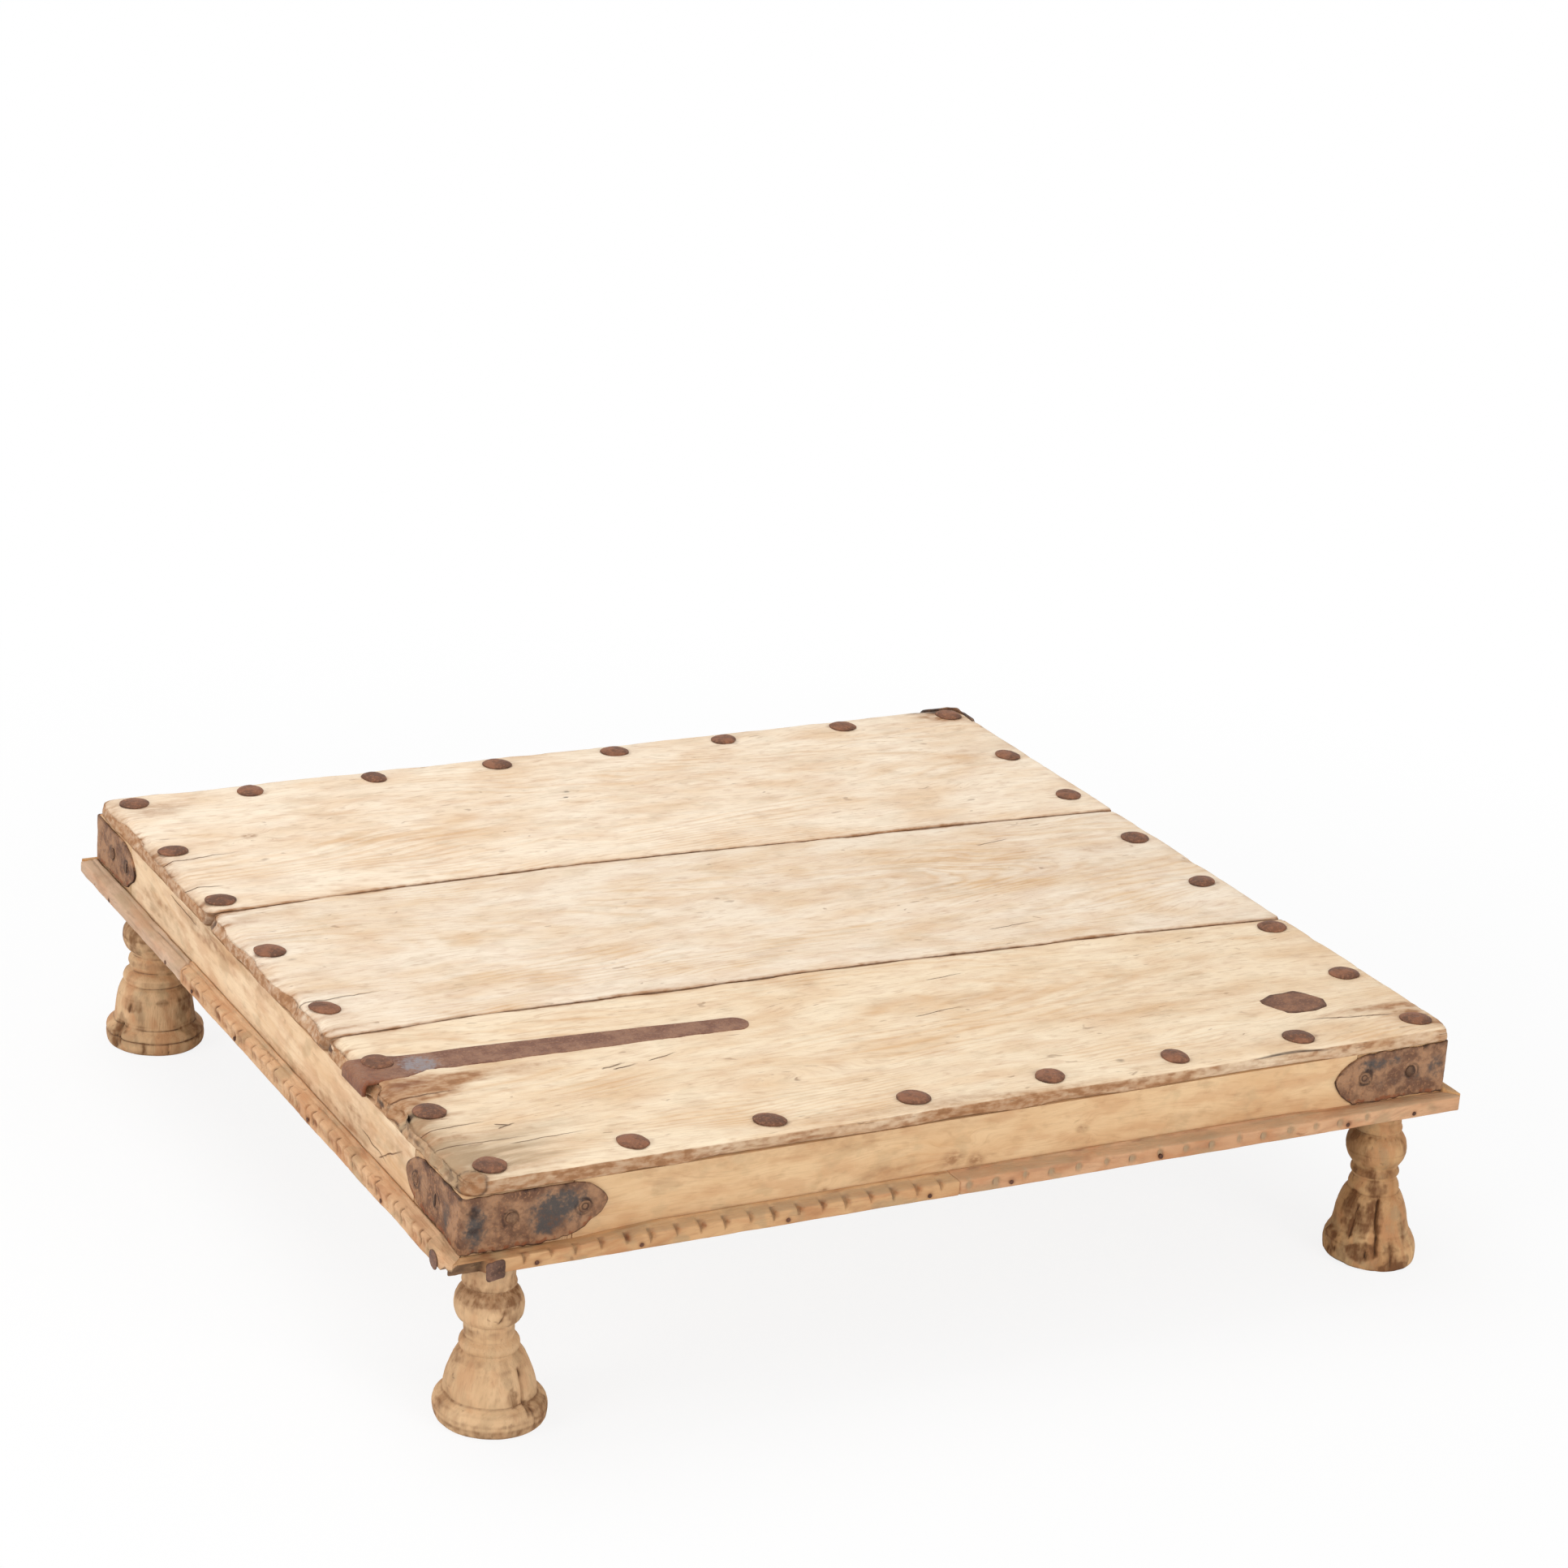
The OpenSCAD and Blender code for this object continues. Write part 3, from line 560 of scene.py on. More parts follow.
# Mouldings: six lengths of chip-carved strip nailed along the foot of the frame and mitred at the corners.
# The near-left length has a broken end, and the far-left one is plain and worn smooth.
frame_x, frame_y = 373.0, 350.0
mould_out, mould_h, mould_z = 12.0, 14.0, 125.0
sides = {"near": (0, frame_y, "xzy"), "left": (-90, frame_x, "yzx"), "far": (180, frame_y, "xzy"),
         "right": (90, frame_x, "yzx")}


def moulding(node, side, start, end, slants, seed, grain, colours, carving, centres=(), fall=2.6, worn=1.6,
             pins=(), dips=((0, 0),), broken=False, stripes=1.0, patina=0.4):
    """S runs along the strip, d out from the frame and h up. Fall is how far the top slopes down to its edge.
    Dips give places along the strip and how far its inner edge has been worn down there."""
    degrees, face, order = sides[side]
    lines = np.array([
        0, 0.5, 1, 1.6, 2.1, 2.5, 2.9, 3.3, 3.8, 4.5, 5.4, 6.5, 7.8, 9, 9.8, 10.5, 11.1, 11.6, mould_out])
    points, faces = skin(rule(start, end, 0.85, 3), -lines[::-1], rule(0, mould_h, 1.4, 3.5))
    radius = worn * (1 + 0.35 * wander(points, (14, 9, 9), seed))
    points = ease(points, (start, -mould_out, 0), (end, 0, mould_h), np.clip(radius, 0.5, 5.5))
    s, d, h = points.T * [[1], [-1], [1]]
    along = (s - start) / (end - start)
    s = s + d / mould_out * (slants[0] * (1 - along) + slants[1] * along)
    slope = unit((d - 3) / 9)
    h = h * (1 - (soft(d, 2.6, 3.4) * 0.8 + slope * (fall - 0.8)) / mould_h)
    h = np.minimum(h, mould_h - np.interp(s, *zip(*dips)))
    outer = unit(d / mould_out) ** 1.5
    where = trio(s, d, h)

    def drift(size, shift):
        return wander(where, size, seed + shift)

    top = mould_h - fall
    upper = soft(h, 11, 12.5)
    soil = 0.25 * bump(d - 2.8, 0.9) * upper + 0.45 * soft(drift((16, 7, 5), 1), -0.1, 0.8)
    dark = (0.3 * bump(d - 2.8, 0.45) + 0.15 * fade(d, 0, 0.6)) * upper
    grey, cut = np.zeros(len(s)), np.zeros(len(s))

    # Each carved mark stands a little askew of its neighbours
    for number, centre in enumerate(centres):
        x = s - centre
        near = np.abs(x) < 9
        front = soft(d, 7, 10) * near
        odd = math.sin(number * 2.4 + seed)
        if carving == "notch":
            reach = np.clip((h - (top - 6.6 - odd)) / 6.6, 0, 1.2)
            wedge = unit(1.2 - np.abs(x + 0.5 * odd) / (0.3 + 1.8 * reach))
            wedge = wedge * np.minimum(1, reach * 4)
            edge = soft(d, 5, 7.5) * near
            cut += 2.6 * wedge * (0.3 + 0.7 * reach) * near
            # Painted shade inside each notch, darkest on its left, and painted shadow to its right
            dark += 0.52 * unit(wedge * 1.4) * edge * (1.1 - 0.5 * soft(x, -0.4, 1.4))
            soil += 0.7 * bump(x - 1.6, 2.0) * edge * unit(reach)
        elif carving == "gouge":
            x = x + 0.6 * odd
            middle = h - top + 4.0 + 0.7 * odd
            oval = np.exp(-((x / (2.6 + 0.5 * odd)) ** 2 + (middle / 3.6) ** 2) ** 1.5) * near
            cut += 2.0 * oval
            grey += 1.0 * oval * front
            dark += 0.7 * bump(x + 2.0, 0.9) * bump(middle, 3.2) * front * (0.8 + 0.3 * odd)
            dark += 0.35 * bump(x - 2.2, 0.7) * bump(middle, 3.0) * front
        else:
            tilt = x + 0.4 * (h - 6) + 1.2 * odd
            curl = bump(tilt, 0.85) * soft(h, 1.5, 4.0)
            hollow = np.exp(-(((tilt - 5) / (3.6 + odd)) ** 2 + ((h - 5.8 - odd) / 3.2) ** 2) ** 1.5)
            cut += (2.6 * curl + 1.1 * hollow) * near
            dark += 1.0 * curl * front * (0.8 + 0.3 * odd)
            dark += 0.15 * hollow * front * max(0, math.sin(number * 1.7))
            soil += (0.45 + 0.25 * odd) * hollow * front + 0.4 * curl * front
    soil *= 1 - 0.8 * fade(d, 1.6, 2.4) * upper
    d = d - cut * outer
    h = h - 0.55 * cut * outer * soft(h, top - 5, top)

    # Rust round the pins, wear, and grey or a long split along the top
    for pin_s in pins:
        soil += 0.8 * bump(s - pin_s, 3.0) * bump(h - 3.5, 3.0)
        dark += 0.3 * bump(s - pin_s, 2.4) * bump(h - 3.5, 2.4)
    worn_off = 0.30 + 0.30 * drift((19, 6, 6), 2) + 0.15 * drift((4, 3, 3), 6)
    d = d - worn_off * outer
    lost = unit(drift((23, 9, 9), 8) - 0.35) * 2.6
    h = h - lost * outer * soft(h, top - 5, top)
    if carving in ("notch", "gouge"):
        paled = 0.75 + 0.4 * drift((30, 8, 8), 10)
        crest = soft(h, top - 0.8, top + 0.4) * soft(d, 2.8, 3.6)
        grey += 0.7 * crest * paled * (1 - 0.8 * broken * fade(s, -345, -290))
    else:
        course = trio(where[:, 0])
        step = 4.4 + 0.8 * wander(course, 30, seed + 10)
        split = bump(d - step, 0.7) * soft(h, top - 1, top) * soft(wander(course, 60, seed + 16), -0.4, 0.2)
        split = split * (1 - 0.75 * soft(s, 110, 210))
        dark += 0.6 * split
        h = h - 0.8 * split
        grey += (0.4 if carving == "plain" else 0.2) * soft(h, top - 0.8, top + 0.4)
        grey += 0.35 * unit(drift((15, 8, 8), 18))
    if side == "left":
        gone = (6.5 + 0.8 * drift(4, 14)) * soft(s, 343, 355)
        dark += 0.6 * soft(gone - h, -1.5, 0.5) * (gone > 1)
        h = np.maximum(h, gone)

    # The corners of the frame's foot are rounded in plan, and the near one is broken off underneath
    for at, way, slant in ((start, -1, -slants[0]), (end, 1, slants[1])):
        if slant == mould_out:
            past, core = way * (s - at), 5.0
            reach = np.hypot(np.maximum(past - core, 0), np.maximum(d - core, 0))
            pull = np.minimum(1, (mould_out - core) / np.maximum(reach, 1e-6))
            s = np.where(past > core, at + way * (core + (past - core) * pull), s)
            d = np.where(d > core, core + (d - core) * pull, d)
    if broken:
        gone = fade(s, -362, -357) * fade(h, 9.0, 10.4)
        d = d * (1 - gone) + np.minimum(d, 3.6 + 0.8 * drift(4, 12)) * gone
        # The broken-out hollow under the corner is painted dark as shade
        dark += 0.75 * gone
        soil += 0.8 * bump(s + 357, 5)
    cos, sin = math.cos(math.radians(degrees)), math.sin(math.radians(degrees))
    x, y = s, -face - d
    material = wood(node + "_wood", order, grain[0], colours, grain[1], (0, 170), stripes=stripes,
                    patina=patina)
    piece(node + "_carved", trio(x * cos - y * sin, x * sin + y * cos, mould_z + h), faces,
          {"soil": soil, "grey": grey, "dark": dark}, material, node, "moulding_wood")


strip = ("#d8ab74", "#c08a55", "#86552f")
moulding("moulding_near_a", "near", -373, -27, (-12, 5), 2.3, (41, 0.4), ("#d2a778", "#b98658", "#8a5533"),
         "notch", [-334 + 17.5 * i for i in range(18)], fall=3.8, worn=1.7, broken=True,
         pins=(-326, -253.6, -149.2, -44.8), dips=[(-373, 4.0), (-296, 3.8), (-262, 1.4), (-235, 0)],
         stripes=0.7, patina=0.5)
moulding("moulding_near_b", "near", -27, 373, (5, 12), 5.9, (43, 0.3), ("#d0a37c", "#bd885f", "#8a5a3e"),
         "gouge", [-15 + 21.2 * i for i in range(16)], fall=3.8, worn=1.5,
         pins=(17.2, 134.3, 287.2, 343.2), dips=[(240, 0), (275, 1.6), (373, 3.0)], stripes=0.7, patina=0.5)
moulding("moulding_left_a", "left", -350, -139, (-12, 5), 7.1, (47, 0.35), ("#cbaa8e", "#b38e70", "#7a5a43"),
         "plain", fall=4.2, worn=3.6, pins=(-290.5, -164.5), patina=0.3)
moulding("moulding_left_b", "left", -139, 350, (5, 12), 8.4, (53, 0.5), ("#d6ae86", "#c19269", "#85522f"),
         "chip", [-128 + 14.2 * i + 2.2 * math.sin(i * 1.9) for i in range(33)], fall=3.0, worn=2.0,
         pins=(-108.5, -21, 119, 248.5), dips=[(322, 0), (350, 3.6)], patina=0.5)
moulding("moulding_far", "far", -373, 373, (-12, 12), 3.7, (59, 0.5), strip, "gouge",
         [-318 + 18.5 * i for i in range(35)], fall=3.6, pins=(309.6, 190.2, 59.7, -70.9, -201.4, -320.8))
moulding("moulding_right", "right", -350, 350, (-12, 12), 6.6, (61, 0.5), strip, "notch",
         [-294 + 18.5 * i for i in range(32)], pins=(-301, -171.5, -38.5, 91, 210, 311.5))


# Corner straps: sheet iron folded round each block under the planks, with pointed ends, rusted and crumbling
# along the lower edge. The back one stands up past the planks.
def iron(name, seed, colours, rough=0.62, scale="#4a4745"):
    """Rusted iron: a brown skin, deeper pits, loose orange rust and, where painted, blue-black scale."""
    finish = Finish(bpy.data.materials.new(name))
    x, y, z = finish.place()
    base, deep, crumb = colours

    def spots(size, detail, shift):
        return finish.noise(x / size, y / size, z / size, detail, seed + shift)

    cloud, fine, speck, blot = spots(14, 5, 0), spots(2.2, 4, 9), spots(0.9, 2, 17), spots(5, 5, 5)
    blue = finish.painted("blue")
    flake = (blue + (blot - 0.5) * 1.6 + (fine - 0.5) * 1.8).between(0.10, 1.15)
    colour = finish.wash(deep, [
        (cloud.between(0.38, 0.62), base),
        (blot.between(0.5, 0.66) * 0.55, deep),
        (fine.between(0.50, 0.68) * 0.5, crumb),
        (flake * blue.between(0.05, 0.5) * 0.92, scale),
        ((finish.painted("crumb") * (fine * 2.2 - 0.1)).between(0.3, 1.0) * 0.75, "#83482a"),
        ((finish.painted("dark") * (0.6 + blot * 0.8)).between(0.1, 0.9) * 0.85, "#2c1b15"),
        (speck.between(0.66, 0.74) * 0.4, "#b98f70")])
    height = fine * 0.8 + speck * 0.35 + cloud * 0.6 + blot * 0.5
    return finish.close(colour, rough + (fine - 0.5) * 0.3, height, 0.8, shine=0.22)


strap_iron = iron("strap_iron", 5, ("#a27a5b", "#6c4b38", "#b5845d"))
strap_z, strap_h, strap_t, strap_y = 139.0, 36.0, 2.0, 88.0
side_nails, plain_reach, right_reach = (38, 70), (33, 83), (30, 69)


def fold(s, t):
    """Bends a strip round the near left corner. S runs along it from the corner, t through its thickness."""
    bend, radius = 3.1, 2.0
    around = unit((s + bend) / (2 * bend)) * math.pi / 2
    x = -frame_x + radius - np.cos(around) * (radius + t) + np.where(s > bend, s - bend, 0)
    y = -frame_y + radius - np.sin(around) * (radius + t) + np.where(s < -bend, -s - bend, 0)
    return x, y


def arch(away, length, half):
    """How far the leaf-shaped end's edge has come in, at a distance from the tip."""
    inward = unit(1 - np.maximum(away, 0) / length)
    return half * (1 - (1 - inward ** 1.6) ** 0.62)


def strap(sx, sy, seed, tip_x=(22, 44, 23, 23), tip_y=(28, 28, 18, 18), long=100, reach=plain_reach, drop=0.0,
          blue=()):
    """Tips give the arch's length above and below, then the point's height over the foot line and over
    the lower edge. Drop is how far the longer arm's lower edge reaches below that line."""
    points, faces = skin(rule(-strap_y, long, 1.5, 6), rule(0, strap_t, 1.0), rule(0, strap_h, 1.6, 3))
    points = ease(points, (-strap_y, 0, 0), (long, strap_t, strap_h), 0.55)
    s, t, h = points.T
    upper, lower = np.full(len(s), strap_h), -drop * soft(s, -28, -2)
    for away, (above, below, point, rise) in ((long - s, tip_x), (strap_y + s, tip_y)):
        upper = upper - arch(away, above, strap_h - point)
        lower = lower + arch(away, below, rise)
    lower = np.minimum(lower, upper - 1.2)
    edge = trio(s)
    upper = upper - 0.5 - 0.5 * wander(edge, 7, seed) - 0.3 * wander(edge, 2.5, seed + 1)
    lower = lower + np.clip(0.9 + 0.9 * wander(edge, 5, seed + 2) + 0.6 * wander(edge, 2.2, seed + 3), 0, 3)
    h = lower + (upper - lower) * h / strap_h
    flat = trio(s, 0, h)

    def drift(size, shift):
        return wander(flat, size, seed + shift)

    t = t - 0.25 - 0.25 * drift((16, 9, 11), 4) - 0.12 * drift((3, 3, 3), 5)
    x, y = fold(s, t)

    # Loose rust along the foot, black rims, a ring of painted shadow round each nail, and scale where it is
    # left
    frayed = wander(edge, 4, seed + 9) + 0.5 * wander(edge, 1.6, seed + 10)
    crumb = 1.1 * bump(h - lower - 1.8, 1.9) * soft(frayed, -0.5, 0.3)
    crumb += 0.35 * soft(drift((17, 9, 12), 6), 0.2, 0.7)
    rim = np.minimum(np.minimum(upper - h, h - lower + 0.4), np.minimum(long - s, strap_y + s) * 1.5)
    dark = 0.55 * bump(rim, 1.5) * (0.7 + 0.5 * drift(6, 7))
    # A dark ring round each nail head is its painted shadow on the strap
    for nail_s in (*reach, -side_nails[0], -side_nails[1]):
        dark += 0.9 * bump(np.hypot(s - nail_s, h - 18) - 5.3, 1.2) * (0.8 + 0.5 * drift(5, 8))
    dark += 0.5 * bump(s - 8, 9) * bump(h - 17, 15) * soft(drift(7, 11), -0.6, 0.5)
    dark += 0.4 * soft(drift((9, 9, 7), 12) + 0.6 * drift(3, 13), 0.35, 0.8)
    dark += 0.7 * bump(h - lower, 1.0) * soft(wander(edge, 6, seed + 14), -0.6, 0.2)
    scale = np.zeros(len(s))
    for at_s, at_h, wide, tall, strength in blue:
        scale += strength * bump(s - at_s, wide) * bump(h - at_h, tall)
    if sx * sy < 0:
        faces = faces[:, ::-1]
    return [trio(-sx * x, -sy * y, strap_z + h), faces, {"crumb": crumb, "blue": scale, "dark": dark}]


straps = {
    "strap_near": [strap(-1, -1, 1.3, (22, 38, 20.5, 24.3), drop=3.8, blue=(
        (66, 23, 17, 9, 1.1), (57, 9, 9, 6, 0.9), (9, 15, 8, 15, 1.2), (70, 15, 28, 16, 0.4),
        (-22, 14, 6, 13, 0.8), (-60, 22, 10, 8, 0.4)))],
    "strap_right": [strap(1, -1, 2.6, (28, 20, 17.4, 19.6), (28, 28, 18, 20.2), 94, right_reach, 2.2, blue=(
        (66, 27, 11, 6, 0.8), (46, 28, 11, 6, 0.6), (22, 14, 22, 12, 0.4), (56, 12, 18, 6, 0.35),
        (8, 20, 7, 12, 0.4)))],
    "strap_left": [strap(-1, 1, 3.9, blue=((-60, 20, 20, 10, 0.4),))],
    "strap_back": [strap(1, 1, 5.2)]}
ear, ear_faces = skin(rule(-36, 36, 1.6, 4), rule(0, strap_t, 1.0), rule(0, 1, 1.6 / 14, 1 / 7))
ear_s, ear_t, ear_share = ear.T
ear_cut = 0.8 + 0.7 * wander(trio(ear_s), 6, 4.2) + 6 * soft(np.abs(ear_s), 30, 37)
ear_x, ear_y = fold(ear_s, ear_t)
ear_z = 174.5 + ear_share * (12.4 - np.clip(ear_cut, 0, 10))
ear_paint = {"crumb": np.full(len(ear), 0.4), "blue": 0.9 * soft(np.abs(ear_s), 6, 22),
             "dark": np.full(len(ear), 0.35)}
straps["strap_back"].append([trio(-ear_x, -ear_y, ear_z), ear_faces, ear_paint])
for node, parts in straps.items():
    piece(node + "_sheet", *join(parts), strap_iron, node, "strap_iron")


# Strap nails: hand-forged iron heads on short square shanks, four to a strap, two in each arm. As rust has
# left them, some heads are domes, some flat rings and some narrow slots.
def disc(outline, profile):
    """A lid on a closed outline: rings at shares of it and at heights, from the middle to the rim."""
    n = len(outline)
    rings = [np.concatenate([outline * share, np.full((n, 1), height)], 1) for share, height in profile[1:]]
    points = np.concatenate([[[0, 0, profile[0][1]]]] + rings)
    faces = [[0, 1 + i, 1 + (i + 1) % n] for i in range(n)]
    for a in range(1, 1 + (len(rings) - 1) * n, n):
        faces += [[a + i, a + n + i, a + n + (i + 1) % n, a + (i + 1) % n] for i in range(n)]
    faces.append([1 + (len(rings) - 1) * n + i for i in reversed(range(n))])
    return points, faces


# Each kind of head from its middle to its rim: shares of the radius and of the height
head_shapes = {
    "dome": [(0, 1), (0.2, 0.98), (0.4, 0.92), (0.6, 0.80), (0.76, 0.64), (0.88, 0.46), (0.96, 0.30),
             (1.0, 0.16), (0.99, 0.0)],
    "square": [(0, 1), (0.3, 0.97), (0.6, 0.92), (0.8, 0.84), (0.93, 0.68), (1.0, 0.4), (1.0, 0.0)],
    "slot": [(0, 1), (0.4, 0.95), (0.75, 0.8), (1.0, 0.3), (1.0, 0.0)],
    "ring": [(0, 0.6), (0.22, 0.55), (0.36, 0.2), (0.5, 0.1), (0.62, 0.3), (0.72, 0.75), (0.84, 0.75),
             (0.95, 0.4), (1.0, 0.0)]}


def nail(size, height, seed, kind="dome", shank=12.0, squeeze=0.08):
    """One nail with its head at the origin, pointing down. Its outline and dome are uneven, as hammered."""
    turns = np.linspace(0, 2 * math.pi, 40, endpoint=False)
    rim = trio(np.cos(turns), np.sin(turns))
    radius = size / 2 * (1 - squeeze * (0.5 + 0.5 * np.cos(2 * turns + seed * 5))
                         + 0.05 * wander(rim * 10, 6, seed) + 0.022 * wander(rim * 10, 2, seed + 1))
    if kind == "square":
        radius = radius * np.minimum(1 / np.maximum(np.abs(rim[:, 0]), np.abs(rim[:, 1])), 1.28) * 0.9
    if kind == "slot":
        radius = radius / np.hypot(rim[:, 0] / 0.34, rim[:, 1])
    profile = [(share, rise * height) for share, rise in head_shapes[kind]]
    points, faces = disc(rim[:, :2] * radius[:, None], profile)
    dent = 0.40 * wander(points, 6, seed + 3) + 0.16 * wander(points, 2.4, seed + 4)
    points[:, 2] += unit(points[:, 2] / height) * (dent * height / 3 - 0.12)
    edge = np.hypot(points[:, 0], points[:, 1]) / (size / 2)
    stem = np.array([-1, 1]) * min(2.3, size / 5)
    post, post_faces = skin(stem, stem, np.array([-shank, -0.4]))
    post[:, :2] *= np.where(post[:, 2:] < -1, 0.6, 1.0)
    paint = {"dark": 0.5 * soft(edge, 0.86, 1.02) + 0.3 * soft(wander(points, 5, seed + 8), 0.2, 0.8),
             "crumb": 0.5 * soft(wander(points, 4, seed + 6), 0.1, 0.7)}
    if kind == "ring":
        paint["dark"] = 0.85 * bump(edge - 0.47, 0.13) + 0.6 * soft(edge, 0.88, 1.0)
    return join([[points, faces, paint], [post, post_faces, {"dark": np.ones(len(post))}]])


def aim(part, place, right, up):
    """Moves a nail to its place, with its head's right and up sides along the given directions."""
    points, faces, paint = part
    axes = np.array([right, up, np.cross(right, up)], float)
    return [points @ axes + np.array(place, float), faces, paint]


stud_iron = iron("stud_iron", 15, ("#8c684d", "#644737", "#a07c5b"), rough=0.6)
strap_marks = {
    "near": ((-1, -1), "dome", "ring", "slot", "ring"), "right": ((1, -1), "dome", "ring", "dome", "dome"),
    "left": ((-1, 1), "dome", "dome", "dome", "slot"), "back": ((1, 1), "dome", "dome", "dome", "ring")}
nail_z, nail_out = 157, 1.7
for name, ((sx, sy), *kinds) in strap_marks.items():
    parts = []
    front_nails = right_reach if name == "right" else plain_reach
    for i, (reach, kind) in enumerate(zip((*front_nails, *side_nails), kinds)):
        head = nail(9.0, 2.2 if kind == "dome" else 1.1, sx * 2 + sy + i, kind, shank=8)
        head[2]["dark"] += {"dome": 0.3, "slot": 1}.get(kind, 0) + 0.35 * (name == "right" and i == 0)
        place = (sx * (frame_x - reach), sy * (frame_y + nail_out), nail_z)
        if i > 1:
            place = (sx * (frame_x + nail_out), sy * (frame_y - reach), nail_z)
        parts.append(aim(head, place, (-sy, 0, 0) if i < 2 else (0, sx, 0), (0, 0, 1)))
    piece("strap_nails_" + name + "_heads", *join(parts), stud_iron, "strap_nails_" + name, "nail_iron")


# Planks: three wide boards of pale wood laid left to right. Their ends and outer edges are worn round and
# chipped, and each seam opens in a small notch at the left end.
def seam(points):
    """A bent line along the planks: Y from X."""
    xs, ys = zip(*points)
    return lambda x: np.interp(x, xs, ys)


seam_far = seam([(-375, 112), (-338, 112), (-263, 116.5), (-219, 118), (-154, 119), (-60, 119), (20, 116),
                 (111, 110.5), (175, 108), (243, 106), (310, 101.5), (375, 97.5)])
seam_near = seam([(-375, -118), (-311, -117), (-243, -114.5), (-182, -116), (-123, -118.5), (-9, -119),
                  (42, -120), (100, -123), (164, -126.5), (254, -130), (310, -134.5), (375, -139.5)])
top_nails = {
    "near": [(x, -332) for x in (-352, -249.1, -151.6, -45.7, 58.7, 157.6, 258.6, 357)],
    "far": [(x, 334) for x in (-351, -258.1, -156.1, -52.2, 50.2, 148.1, 258.1, 358)],
    "left": [(-356, y) for y in (-249.6, -166.3, -72.9, 31.9, 131.3, 232.1)],
    "right": [(356, y) for y in (-246.1, -153.8, -58.9, 36.9, 136.3, 232.1)]}
top_x, top_y, plank_low, plank_high = 375, 352, 175.0, 186.5


def plank(node, low, high, corners, seed, material, stains, near_edge=False, far_edge=False):
    """Corners give the plan radius at the left low, left high, right low and right high corner."""
    half = 117.0
    thickness = rule(plank_low, plank_high, 1.6, 3.2)
    points, faces = skin(rule(-top_x, top_x, 2.0, 9), rule(-half, half, 2.2, 8), thickness)
    x0, y0, z0 = points.T
    edge_low, edge_high = half + y0, half - y0
    end_left, end_right = x0 + top_x, top_x - x0
    outer = np.minimum(edge_low if near_edge else 99.0, edge_high if far_edge else 99.0)
    edge = np.minimum.reduce([edge_low, edge_high, end_left, end_right])
    left_face, near_face = fade(end_left, 0, 3), fade(edge_low, 0, 3)
    face_up = soft(z0, 185, 186.4)
    side_face = fade(z0, 185.4, 186.4)
    underside = (z0 < plank_low + 0.01) * soft(edge, 0, 6)
    rough = 1.7 if near_edge else 1.0

    # Rounded edges, most at the left end
    wear = 1.5 + 2.4 * fade(outer, 2, 14) + 3.4 * fade(end_left, 2, 16) + 1.2 * fade(end_right, 2, 16)
    wear = wear * (1 + 0.45 * wander(points, (33, 33, 90), seed)) * np.where(z0 > 181, 1.0, 0.5)
    here = ease(points, (-top_x, -half, plank_low), (top_x, half, plank_high), np.clip(wear, 0.5, 5.3))
    x, y, z = here.T

    def drift(size, shift):
        return wander(here, size, seed + shift)

    # Chipped and layered ends
    chips = (0.7 + 4.6 * unit(drift((60, 20, 40), 1) - 0.05)
             + 0.9 * unit(drift((60, 7.5, 14), 2) - 0.1)) * fade(end_left, 0, 11) * rough
    chips = chips * (0.4 + 0.6 * soft(z0, 176.5, 181))
    nicks = (0.4 + 1.6 * unit(drift((60, 21, 30), 3) - 0.1)
             + 0.7 * unit(drift((60, 5, 9), 4))) * fade(end_right, 0, 13)
    layered = drift((9, 18, 3.6), 18) + 0.3 * drift((9, 5, 4), 19)
    x = x + chips - nicks + np.clip(0.5 + 0.9 * layered, 0, 2.2) * rough * left_face * side_face

    # The seams, wide at the top and nearly closed below, and the rounded corners
    lane = trio(x)
    gap = 0.65 + 0.5 * np.abs(wander(lane, 22, seed + 20)) + 1.0 * unit(wander(lane, 9, seed + 21) - 0.3)
    gap = gap * (0.12 + 0.88 * soft(z0, 176, 182))
    bottom, top = low(x) + gap * (not near_edge), high(x) - gap * (not far_edge)
    for radius, end, is_low in zip(corners, (end_left, end_left, end_right, end_right), (1, 0, 1, 0)):
        cut = radius - np.sqrt(np.maximum(radius ** 2 - np.clip(radius - end, 0, radius) ** 2, 0))
        bottom, top = (bottom + cut, top) if is_low else (bottom, top - cut)
    y = bottom + (y + half) / (2 * half) * (top - bottom)

    # Torn outer edges
    here = trio(x, y, z)
    chips = 0.5 + 2.2 * unit(drift((26, 60, 12), 5) - 0.15) + 0.7 * unit(drift((7, 60, 3), 6))
    front = trio(x, 0, z)
    torn = wander(front, (34, 9, 2.6), seed + 16) + 0.6 * wander(front, (9, 9, 2.2), seed + 17)
    if near_edge:
        under = fade(z, 176, 182) * soft(x, -272, -235) * fade(x, 262, 285)
        y = y + chips * fade(edge_low, 0, 11) * (0.35 + 0.2 * soft(z0, 177, 181) + 0.9 * under)
        y = y + np.clip(0.4 + 0.9 * torn, 0, 2) * side_face * near_face * (0.5 + 0.5 * soft(z0, 176, 179))
        z = z + 3.6 * unit(wander(trio(x), 43, seed + 7) + 0.35) * fade(edge_low, 0, 5) * under
    if far_edge:
        y = y - chips * fade(edge_high, 0, 11)

    # The worn face, low along its edges but for the bar's bed
    here = trio(x, y, z)
    scrubbed = 0.35 + 0.25 * drift((120, 60, 50), 8) + 0.12 * drift((22, 6, 9), 9)
    z = z - face_up * scrubbed
    z = z - face_up * 0.9 * fade(edge, 2, 13) * (0.5 + 0.8 * drift((25, 12, 20), 10))
    under_bar = near_edge * np.exp(-((y + 176) / 24) ** 4)
    sunk = 3.0 * fade(end_left, 0, 15) * (0.7 + 0.5 * drift((60, 28, 60), 24))
    z = z - face_up * sunk * (1 - 0.85 * under_bar)
